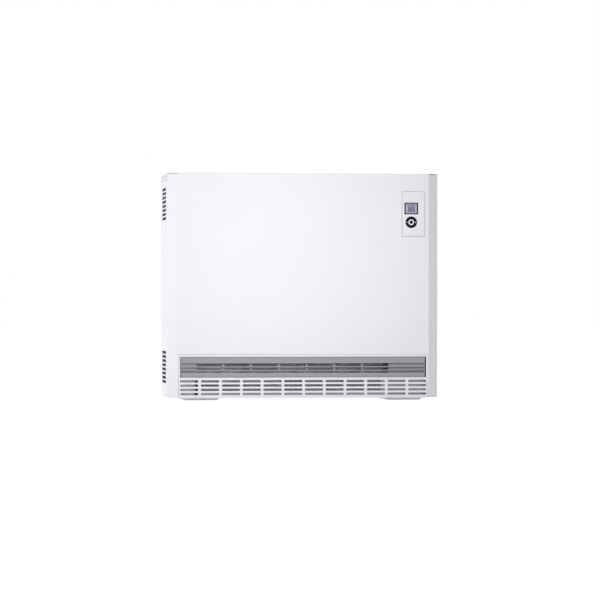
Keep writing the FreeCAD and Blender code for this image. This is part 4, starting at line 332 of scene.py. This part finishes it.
FINISHES = {
    "white_paint": powder_coat("white powder coat", WHITE, 0.42, joints=0.3),
    # the same white coat with much more painted shade in its creases, so the side panels' pressed
    # beads show dark shadow lines
    "bead_shaded_paint": powder_coat("white coat with painted bead shade", WHITE, 0.42, joints=0.85),
    # grey coat with painted light on the louvre faces
    "grille_grey": powder_coat("grey powder coat with painted louvre light", (0.355, 0.34, 0.373), 0.45, painted_light_band=LOUVRE_PAINTED_LIGHT),
    "galvanised": galvanised("galvanised sheet", (0.53, 0.505, 0.555), (0.40, 0.38, 0.42)),
    # the same galvanised sheet painted darker as painted shade, for the base tray's blanks behind
    # the intake slots
    "shaded_tray_sheet": galvanised("galvanised sheet darkened as shade", (0.35, 0.335, 0.365), (0.26, 0.25, 0.275)),
    "foot_steel": powder_coat("foot paint", (0.80, 0.79, 0.81), 0.5, metallic=0.45),
    "stainless": brushed("heat-tinted sheet", (0.52, 0.48, 0.42), 0.36),
    "element_steel": brushed("element tube", (0.30, 0.28, 0.26), 0.5, 0.9),
    "screw_steel": brushed("dark zinc", (0.30, 0.30, 0.31), 0.36, 0.9, Finish.EVEN, 2200.0),
    "bearing_bronze": brushed("sintered bronze", (0.55, 0.40, 0.20), 0.5, 0.9, Finish.EVEN, 1600.0),
    "copper_coil": winding("coil winding"),
    "magnet_steel": laminated("core sheets"),
    "alu_blades": brushed("rolled aluminium", (0.74, 0.75, 0.77), 0.3, 1.0, (0.04, 1, 1), 1200.0),
    "brick_stone": stone("storage brick"),
    "insulation_board": fibre_board("insulation board"),
    "ceramic_white": moulded("unglazed ceramic", (0.84, 0.81, 0.75), 0.8, 700.0, 0.1 * MM),
    "panel_plastic": moulded("white panel plastic", WHITE, 0.36, joints=0.65),
    "black_plastic": moulded("black plastic", (0.004, 0.004, 0.005), 0.45, 2600.0, 0.02 * MM, 0.09),
    "housing_plastic": moulded("housing plastic", (0.62, 0.62, 0.63), 0.55),
    "lens": clear_glass("display cover"),
    "lcd": crystal_screen("liquid crystal", (0.52, 0.54, 0.72)),
    "lcd_field": crystal_screen("unlit segments", (0.27, 0.28, 0.43)),
    "board_green": circuit_board("circuit board"),
    "component_black": moulded("component black", (0.035, 0.035, 0.037), 0.45),
    "terminal_white": moulded("terminal white", (0.80, 0.78, 0.72), 0.5),
    "button_red": moulded("button red", (0.52, 0.035, 0.025), 0.3),
    "spacer_grey": moulded("spacer grey", (0.48, 0.48, 0.49), 0.6),
    "gland_grey": moulded("gland grey", (0.36, 0.36, 0.37), 0.5),
    "mesh_grey": gauze("lint gauze"),
    "filter_grey": moulded("filter frame", (0.30, 0.30, 0.31), 0.6),
}

# nodes whose finish differs from that of their slot's other nodes: the side panels get more painted
# shade in their beads, and the base tray a darker galvanised colour painted on as the shade behind
# the intake slots
OWN_FINISH = {
    "left_side_panel": "bead_shaded_paint",
    "right_side_panel": "bead_shaded_paint",
    "base_tray": "shaded_tray_sheet",
}


def dress_nodes():
    """Gives every carried-over node its own finish or that of its slot in the record."""
    for entry in frame["record"]["subparts"]:
        thing = NODES[entry["node"]]
        finish = FINISHES[OWN_FINISH.get(entry["node"], entry["material_slot"])].material
        for spot in thing.material_slots:
            spot.material = finish
        if not thing.material_slots:
            thing.data.materials.append(finish)


# ---------------------------------------------------------------- mesh helpers

def make_mesh(name, bm):
    """Turns a bmesh into a mesh and frees it."""
    mesh = bpy.data.meshes.new(name)
    bm.to_mesh(mesh)
    bm.free()
    return mesh


def put(name, data):
    """A new object in the scene."""
    thing = bpy.data.objects.new(name, data)
    bpy.context.scene.collection.objects.link(thing)
    return thing


def add_piece(name, bm, slot, body, *replaced, smooth=False):
    """Makes a piece from a bmesh, in its slot's finish, riding on a body."""
    bmesh.ops.recalc_face_normals(bm, faces=bm.faces)
    mesh = make_mesh(name, bm)
    mesh.materials.append(FINISHES[slot].material)
    if smooth:
        mesh.shade_smooth()
        mesh.set_sharp_from_angle(angle=math.radians(35))
    piece = put(name, mesh)
    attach(piece, body)
    if replaced:
        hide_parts(*replaced)
    return piece


def turn_to(axis):
    """The rotation that takes Z to an axis."""
    return Vector(UPWARD).rotation_difference(Vector(axis)).to_matrix().to_4x4()


def circle(bm, radius, height, segments):
    """A ring of points about Z, or a single point on it."""
    if radius == 0:
        return [bm.verts.new((0, 0, height))]
    turns = [2 * math.pi * i / segments for i in range(segments)]
    return [bm.verts.new((radius * math.cos(turn), radius * math.sin(turn), height))
            for turn in turns]


def skin_over(bm, rings, closed=False):
    """Faces from each ring of points to the next, and from the last to the first if closed."""
    for low, high in zip(rings, rings[1:] + (rings[:1] if closed else [])):
        count = max(len(low), len(high))
        for i in range(count):
            j = (i + 1) % count
            if len(low) == 1:
                bm.faces.new((low[0], high[i], high[j]))
            elif len(high) == 1:
                bm.faces.new((low[i], low[j], high[0]))
            else:
                bm.faces.new((low[i], low[j], high[j], high[i]))


def lathe(bm, profile, centre, axis, segments, closed=False):
    """Revolves (radius, distance) points about an axis through centre.

    A closed profile is a loop beside the axis; an open one starts and ends on it.
    """
    rings = [circle(bm, radius, distance, segments) for radius, distance in profile]
    skin_over(bm, rings, closed)
    move = Matrix.Translation(centre) @ turn_to(axis)
    bmesh.ops.transform(bm, matrix=move, verts=[v for ring in rings for v in ring])


def slab(bm, low, high):
    """A block between two corners."""
    corners = [bm.verts.new((x, y, z)) for x in (low[0], high[0])
               for y in (low[1], high[1]) for z in (low[2], high[2])]
    for face in ((0, 1, 3, 2), (4, 6, 7, 5), (0, 4, 5, 1), (2, 3, 7, 6),
                 (0, 2, 6, 4), (1, 5, 7, 3)):
        bm.faces.new([corners[i] for i in face])


def rounded(width, height, radius, steps=6):
    """Points of a rounded rectangle about the origin, counterclockwise."""
    points = []
    for cx, cy, quarter in ((1, 1, 0), (-1, 1, 1), (-1, -1, 2), (1, -1, 3)):
        for step in range(steps + 1):
            angle = math.pi / 2 * (quarter + step / steps)
            points.append((cx * (width / 2 - radius) + radius * math.cos(angle),
                           cy * (height / 2 - radius) + radius * math.sin(angle)))
    return points


def bezel_ring(bm, outer, inner, x, z, front, depth, chamfer):
    """A frame between two outlines of as many points, facing -Y, its front edges chamfered."""
    def level(outline, y, grow):
        made = []
        for u, v in outline:
            scale = 1 + grow / math.hypot(u, v)
            made.append(bm.verts.new((x + u * scale, y, z + v * scale)))
        return made

    back, shoulder = front + depth, front + chamfer
    skin_over(bm, [level(outer, back, 0), level(outer, shoulder, 0), level(outer, front, -chamfer),
                   level(inner, front, chamfer), level(inner, shoulder, 0), level(inner, back, 0)],
              closed=True)


# ---------------------------------------------------------------- control unit

# lit bars of each figure: a top, b top right, c bottom right, d bottom, e bottom left,
# f top left, g middle
SEGMENTS = {"0": "abcdef", "1": "bc", "2": "abged", "3": "abgcd", "5": "afgcd"}


def figure(bm, digit, left, bottom, wide, tall, y, skin):
    """One seven-bar figure, standing off the screen at y by a skin."""
    bar = wide * 0.3
    half = tall / 2
    gap = bar * 0.25
    inset = bar / 2 + gap
    spots = {
        "a": (inset, tall - bar, wide - inset, tall),
        "b": (wide - bar, half + gap, wide, tall - gap),
        "c": (wide - bar, gap, wide, half - gap),
        "d": (inset, 0, wide - inset, bar),
        "e": (0, gap, bar, half - gap),
        "f": (0, half + gap, bar, tall - gap),
        "g": (inset, half - bar / 2, wide - inset, half + bar / 2),
    }
    for name in SEGMENTS[digit]:
        x0, z0, x1, z1 = spots[name]
        slab(bm, (left + x0, y - skin, bottom + z0), (left + x1, y, bottom + z1))


def figures(x, y, z):
    """A room temperature in large figures under a row with the time and rising bars.

    Positions on the screen are in millimetres from its middle.
    """
    film, skin = 0.02 * MM, 0.05 * MM

    def patch(bm, left, bottom, right, top, thick):
        slab(bm, (x + left * MM, y - thick, z + bottom * MM), (x + right * MM, y, z + top * MM))

    def row(bm, digits, bottom, wide, tall):
        for digit, left in digits:
            figure(bm, digit, x + left * MM, z + bottom * MM, wide * MM, tall * MM, y, skin)

    bm = bmesh.new()
    patch(bm, -10.8, -10.4, 11.2, 4.6, film)
    patch(bm, -11.6, 5.8, 12.4, 11.4, film)
    field = add_piece("display_field", bm, "lcd", "casing")
    field.data.materials[0] = FINISHES["lcd_field"].material

    bm = bmesh.new()
    large_foot, small_foot = -9.4, 6.2
    row(bm, (("2", -10.2), ("2", -3.4), ("5", 4.6)), large_foot, 6.2, 13.4)
    patch(bm, 2.8, large_foot, 4.4, -7.6, skin)
    row(bm, (("1", -11.2), ("2", -8.0), ("3", -3.2), ("0", 0.0)), small_foot, 2.6, 4.8)
    for colon_dot in (7.4, 9.1):
        patch(bm, -4.6, colon_dot, -3.9, colon_dot + 0.7, skin)
    for index in range(4):
        left, top = 5.2 + 1.7 * index, 7.6 + 1.1 * index
        patch(bm, left, small_foot, left + 1.4, top, skin)
    add_piece("display_figures", bm, "component_black", "casing")


def display():
    """The dark frame, and the screen set back inside it with generic figures."""
    low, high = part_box("display_window")
    x, z = (low.x + high.x) / 2, (low.z + high.z) / 2
    wide, tall = high.x - low.x, high.z - low.z
    side, edge = 3.9 * MM, 3.3 * MM
    outer_corner, inner_corner, chamfer, set_back = 1.0 * MM, 0.8 * MM, 0.2 * MM, 0.15 * MM
    bm = bmesh.new()
    bezel_ring(bm, rounded(wide, tall, outer_corner),
               rounded(wide - 2 * side, tall - 2 * edge, inner_corner),
               x, z, low.y, high.y - low.y, chamfer)
    add_piece("display_border", bm, "black_plastic", "casing", "display_window", smooth=True)
    bm = bmesh.new()
    slab(bm, (low.x + side, low.y + set_back, low.z + edge), (high.x - side, high.y, high.z - edge))
    add_piece("display_screen", bm, "lcd", "casing", "display_window")
    figures(x, low.y + set_back, z)


def rocker_ring():
    """The black ring with a soft edge, its pivot pins, and a minus and a plus."""
    low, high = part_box("control_ring")
    centre = Vector(((low.x + high.x) / 2, low.y, (low.z + high.z) / 2))
    outer, bore, depth = (high.x - low.x) / 2, 9.0 * MM, high.y - low.y
    middle = (outer + bore) / 2
    edge = 0.7 * MM
    dish, dish_side, dish_reach, bore_rim = 0.3 * MM, 0.16 * MM, 2.5 * MM, 0.05 * MM
    profile = [(outer, depth), (outer, edge), (outer - 0.3 * edge, 0.3 * edge), (outer - edge, 0.0),
               (middle + dish_reach, dish_side), (middle, dish), (middle - dish_reach, dish_side),
               (bore + 0.4 * edge, bore_rim), (bore, 0.5 * edge), (bore, depth)]
    bm = bmesh.new()
    lathe(bm, profile, centre, BACKWARD, segments=96, closed=True)
    pin, pin_depth, root = 1.0 * MM, 4.0 * MM, 0.4 * MM
    for z0, z1 in ((low.z, centre.z - outer + root), (centre.z + outer - root, high.z)):
        lathe(bm, [(0, z0), (pin, z0), (pin, z1), (0, z1)],
              (centre.x, low.y + pin_depth, 0), UPWARD, segments=24)
    add_piece("rocker_ring", bm, "black_plastic", "ring", "control_ring", smooth=True)

    bm = bmesh.new()
    reach, bar = 2.2 * MM, 0.5 * MM
    front, back = low.y + 0.04 * MM, low.y + 0.34 * MM
    for side in (-1, 1):
        across = centre.x + side * middle
        slab(bm, (across - reach, front, centre.z - bar), (across + reach, back, centre.z + bar))
    for bottom, top in ((-reach, -bar), (bar, reach)):
        slab(bm, (centre.x + middle - bar, front, centre.z + bottom),
             (centre.x + middle + bar, back, centre.z + top))
    add_piece("ring_signs", bm, "panel_plastic", "ring")
    return centre


def centre_key(centre):
    """The white key with a dished face, a round edge and a black spot."""
    low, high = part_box("ok_key")
    radius, depth = (high.x - low.x) / 2, high.y - low.y
    stem, cap, edge, spot = 3.0 * MM, 4.2 * MM, 0.6 * MM, 4.7 * MM
    seat, rim, spot_face, spot_edge, spot_back = (d * MM for d in (0.25, 0.05, 0.06, 0.14, 0.4))
    profile = [(0, seat), (spot, seat), (spot + 0.15 * MM, rim), (radius - edge, 0.0),
               (radius - 0.3 * edge, 0.3 * edge), (radius, edge), (radius, cap), (stem, cap),
               (stem, depth), (0, depth)]
    bm = bmesh.new()
    lathe(bm, profile, centre, BACKWARD, segments=72)
    add_piece("centre_key", bm, "panel_plastic", "key", "ok_key", smooth=True)
    bm = bmesh.new()
    profile = [(0, rim), (spot - 0.5 * MM, spot_face), (spot - 0.1 * MM, spot_edge),
               (spot - 0.02 * MM, spot_back), (0, spot_back)]
    lathe(bm, profile, centre, BACKWARD, segments=48)
    add_piece("key_spot", bm, "black_plastic", "key", smooth=True)


# ---------------------------------------------------------------- small parts

def screw_blank(head, height):
    """A pan-head screw, its head above z = 0 and its threaded shank below."""
    shank, length, point, neck, pitch = 1.7 * MM, 8.0 * MM, 1.2 * MM, 0.6 * MM, 0.7 * MM
    z = -length + point
    profile = [(0, -length), (shank * 0.35, -length + 0.2 * MM), (shank * 0.85, z)]
    while z < -2 * neck:
        profile += [(shank * 0.8, z), (shank, z + pitch / 2)]
        z += pitch
    rim, steps = 0.5 * height, 6
    profile += [(shank, -neck), (shank, 0.0), (head, 0.0), (head, rim)]
    for step in range(1, steps + 1):
        angle = math.pi / 2 * step / steps
        profile.append((head * (0.35 + 0.65 * math.cos(angle)), rim * (1 + math.sin(angle))))
    profile.append((0, height))
    bm = bmesh.new()
    lathe(bm, profile, (0, 0, 0), UPWARD, segments=40)
    return make_mesh("screw_blank", bm)


def cross_cutter(head, height):
    """A tapered cross that cuts the recess."""
    arm, half, taper = 0.55 * head, 0.17 * head, 0.7
    outline = ((arm, -half), (arm, half), (half, half), (half, arm), (-half, arm), (-half, half),
               (-arm, half), (-arm, -half), (-half, -half), (-half, -arm), (half, -arm),
               (half, -half))
    bm = bmesh.new()
    low = [bm.verts.new((taper * x, taper * y, 0.35 * height)) for x, y in outline]
    high = [bm.verts.new((x, y, 1.2 * height)) for x, y in outline]
    bm.faces.new(low[::-1])
    bm.faces.new(high)
    skin_over(bm, [low, high])
    return make_mesh("screw_cross", bm)


def screw_mesh():
    """A pan-head screw with a cross recess."""
    head, height = 3.4 * MM, 2.0 * MM
    blank = put("screw_blank", screw_blank(head, height))
    cutter = put("screw_cross", cross_cutter(head, height))
    cut = blank.modifiers.new("cross", "BOOLEAN")
    cut.operation = "DIFFERENCE"
    cut.solver = "EXACT"
    cut.object = cutter
    bpy.context.view_layer.update()
    evaluated = blank.evaluated_get(bpy.context.evaluated_depsgraph_get())
    made = bpy.data.meshes.new_from_object(evaluated)
    for thing in (blank, cutter):
        bpy.data.objects.remove(thing)
    return made


def screws(name, screw, spots, replaced):
    """Screws whose heads sit at (point under the head, outward axis, turn in degrees)."""
    bm = bmesh.new()
    for point, axis, turn in spots:
        before = len(bm.verts)
        bm.from_mesh(screw)
        bm.verts.ensure_lookup_table()
        twist = Matrix.Rotation(math.radians(turn), 4, "Z")
        move = Matrix.Translation(point) @ turn_to(axis) @ twist
        bmesh.ops.transform(bm, matrix=move, verts=bm.verts[before:])
    add_piece(name, bm, "screw_steel", "casing", replaced, smooth=True)


def all_screws(screw):
    """The outlet grille's screw, those of the rear panel and those through the base tray."""
    low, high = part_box("outlet_grille_screw")
    grille_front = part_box("outlet_grille")[0].y
    screws("outlet_screw", screw,
           [(((low.x + high.x) / 2, grille_front, (low.z + high.z) / 2), FRONTWARD, 20)],
           "outlet_grille_screw")

    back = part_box("rear_panel")[1].y
    rear_side, rear_heights = 0.383, (0.641, 0.600, 0.330, 0.060)
    tray_side, tray_depths, tray_top = 0.327, (-0.0615, 0.0185), 8.5 * MM
    spots = []
    for side in (-1, 1):
        for index, z in enumerate(rear_heights):
            spots.append(((side * rear_side, back, z), BACKWARD, 37 * index + 11 * side))
        for index, y in enumerate(tray_depths):
            spots.append(((side * tray_side, y, tray_top), UPWARD, 50 * index + 23))
    screws("corner_screws", screw, spots, "casing_screws")


def lint_gauze():
    """The woven wire cloth of the lint filter."""
    low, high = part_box("lint_filter_mesh")
    y = (low.y + high.y) / 2
    pitch, wire, flat, swing, inset = 1.6 * MM, 0.16 * MM, 0.6, 0.1 * MM, 2.0 * MM
    bm = bmesh.new()

    def strand(along, cross, start, end, at, phase):
        """A wavy wire of four sides along x or z."""
        count = int((end - start) / (pitch / 2))
        rings = []
        for step in range(count + 1):
            s = start + (end - start) * step / count
            lift = swing * math.cos(math.pi * (step / 2 + phase))
            ring = []
            for du, dy in ((-1, 0), (0, -1), (1, 0), (0, 1)):
                spot = {along: s, cross: at + du * wire}
                ring.append(bm.verts.new((spot["x"], y + lift + dy * wire * flat, spot["z"])))
            rings.append(ring)
        skin_over(bm, rings)
        bm.faces.new(rings[0][::-1])
        bm.faces.new(rings[-1])

    left, right, bottom, top = low.x + inset, high.x - inset, low.z + inset, high.z - inset
    for index in range(int((right - left) / pitch) + 1):
        strand("z", "x", bottom, top, left + index * pitch, index)
    for index in range(int((top - bottom) / pitch) + 1):
        strand("x", "z", left, right, bottom + index * pitch, index + 0.5)
    add_piece("lint_gauze", bm, "mesh_grey", "lower_panel", "lint_filter_mesh")


def gland():
    """The cable gland: a lock nut inside the sheet, a hexagonal collar outside and a bored tube."""
    low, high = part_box("cable_gland")
    x, z = (low.x + high.x) / 2, (low.z + high.z) / 2
    inside, outside = (corner.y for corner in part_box("rear_panel"))
    bore, thread, flange, nut_depth = 6.0 * MM, 9.0 * MM, 13.0 * MM, 4.0 * MM
    bm = bmesh.new()

    def hexagon(start, end):
        edge, hole = 0.5 * MM, thread - 0.2 * MM
        lathe(bm, [(hole, start), (flange - edge, start), (flange, start + edge),
                   (flange, end - edge), (flange - edge, end), (hole, end)],
              (x, 0, z), BACKWARD, segments=6, closed=True)

    hexagon(inside - nut_depth, inside)
    hexagon(outside, outside + nut_depth)
    lead, groove, pitch = 0.4 * MM, 0.45 * MM, 1.0 * MM
    tube = [(bore, low.y), (thread - lead, low.y), (thread, low.y + lead)]
    y = low.y + lead
    while y < outside:
        tube += [(thread, y + 0.2 * pitch), (thread - groove, y + 0.7 * pitch)]
        y += pitch
    rim = 0.3 * MM
    tube += [(thread, outside + 0.5 * MM), (thread, high.y - 2.0 * MM),
             (thread - 0.6 * MM, high.y - 0.8 * MM), (thread - 1.6 * MM, high.y),
             (bore + rim, high.y), (bore, high.y - rim)]
    lathe(bm, tube, (x, 0, z), BACKWARD, segments=48, closed=True)
    add_piece("gland_body", bm, "gland_grey", "casing", "cable_gland", smooth=True)


# ---------------------------------------------------------------- stage, light and camera

def stage_material():
    """A pale floor that shows the camera pure white away from the object's shadow."""
    f = Finish("floor", (0.80, 0.80, 0.81), 0.9)
    f.shade(f.noise(3.0, 2.0), 0.01)
    glow = f.node("ShaderNodeEmission", Strength=0.80)
    both = f.node("ShaderNodeAddShader")
    pick = f.node("ShaderNodeMixShader")
    plain = f.shader.outputs[0]
    f.link(plain, both, 0)
    f.link(glow.outputs[0], both, 1)
    f.link(seen_rays(f.tree), pick, 0)
    f.link(plain, pick, 1)
    f.link(both.outputs[0], pick, 2)
    f.link(pick.outputs[0], f.tree.nodes["Material Output"], "Surface")
    return f.material


def stage():
    """The floor, just under the feet."""
    bm = bmesh.new()
    bmesh.ops.create_grid(bm, x_segments=1, y_segments=1, size=40)
    floor = put("floor", make_mesh("floor", bm))
    floor.location.z = -0.5 * MM
    floor.data.materials.append(stage_material())


def sky():
    """White for the camera and in reflections, a softer fill for everything else."""
    fill, white = 0.342, 1.0
    world = bpy.data.worlds.new("studio")
    bpy.context.scene.world = world
    world.use_nodes = True
    tree = world.node_tree
    shade = tree.nodes["Background"]
    shade.inputs["Color"].default_value = (1, 1, 1, 1)
    level = tree.nodes.new("ShaderNodeMapRange")
    level.inputs["To Min"].default_value = fill
    level.inputs["To Max"].default_value = white
    tree.links.new(seen_rays(tree), level.inputs["Value"])
    tree.links.new(level.outputs["Result"], shade.inputs["Strength"])


def lamp(name, place, target, side, power):
    """A soft square lamp that faces a point, its side in metres and its power in watts."""
    light = bpy.data.lights.new(name, "AREA")
    light.shape = "SQUARE"
    light.size = side
    light.energy = power
    thing = put(name, light)
    thing.visible_camera = False
    thing.location = place
    aim = Vector(target) - Vector(place)
    thing.rotation_euler = aim.to_track_quat("-Z", "Y").to_euler()


def camera():
    """A long lens from the left of the front, a little under half height."""
    yaw, pitch = 0.11725, 0.00253
    lens = bpy.data.cameras.new("camera")
    lens.lens = 202.56
    lens.sensor_width = 36
    lens.clip_end = 100
    thing = put("camera", lens)
    thing.location = (-1.1408, -9.7334, 0.2628)
    thing.rotation_euler = (math.pi / 2 + pitch, 0, -yaw)
    bpy.context.scene.camera = thing


screw = screw_mesh()
dress_nodes()
display()
centre_key(rocker_ring())
all_screws(screw)
lint_gauze()
gland()
stage()
sky()
lamp("front_lamp", (-0.2, -1.4, 0.72), (0, -0.1, 0.35), 1.0, 6.8)
lamp("near_lamp", (-0.05, -1.1, 0.47), (-0.05, -0.1, 0.4), 0.6, 2.1)
lamp("left_lamp", (-1.3, -0.02, 0.56), (0, -0.1, 0.35), 0.8, 5.3)
lamp("rear_lamp", (1.4, 3.0, 2.6), (0, 0.1, 0.4), 2.0, 60)
camera()
bpy.context.scene.view_settings.view_transform = "Standard"
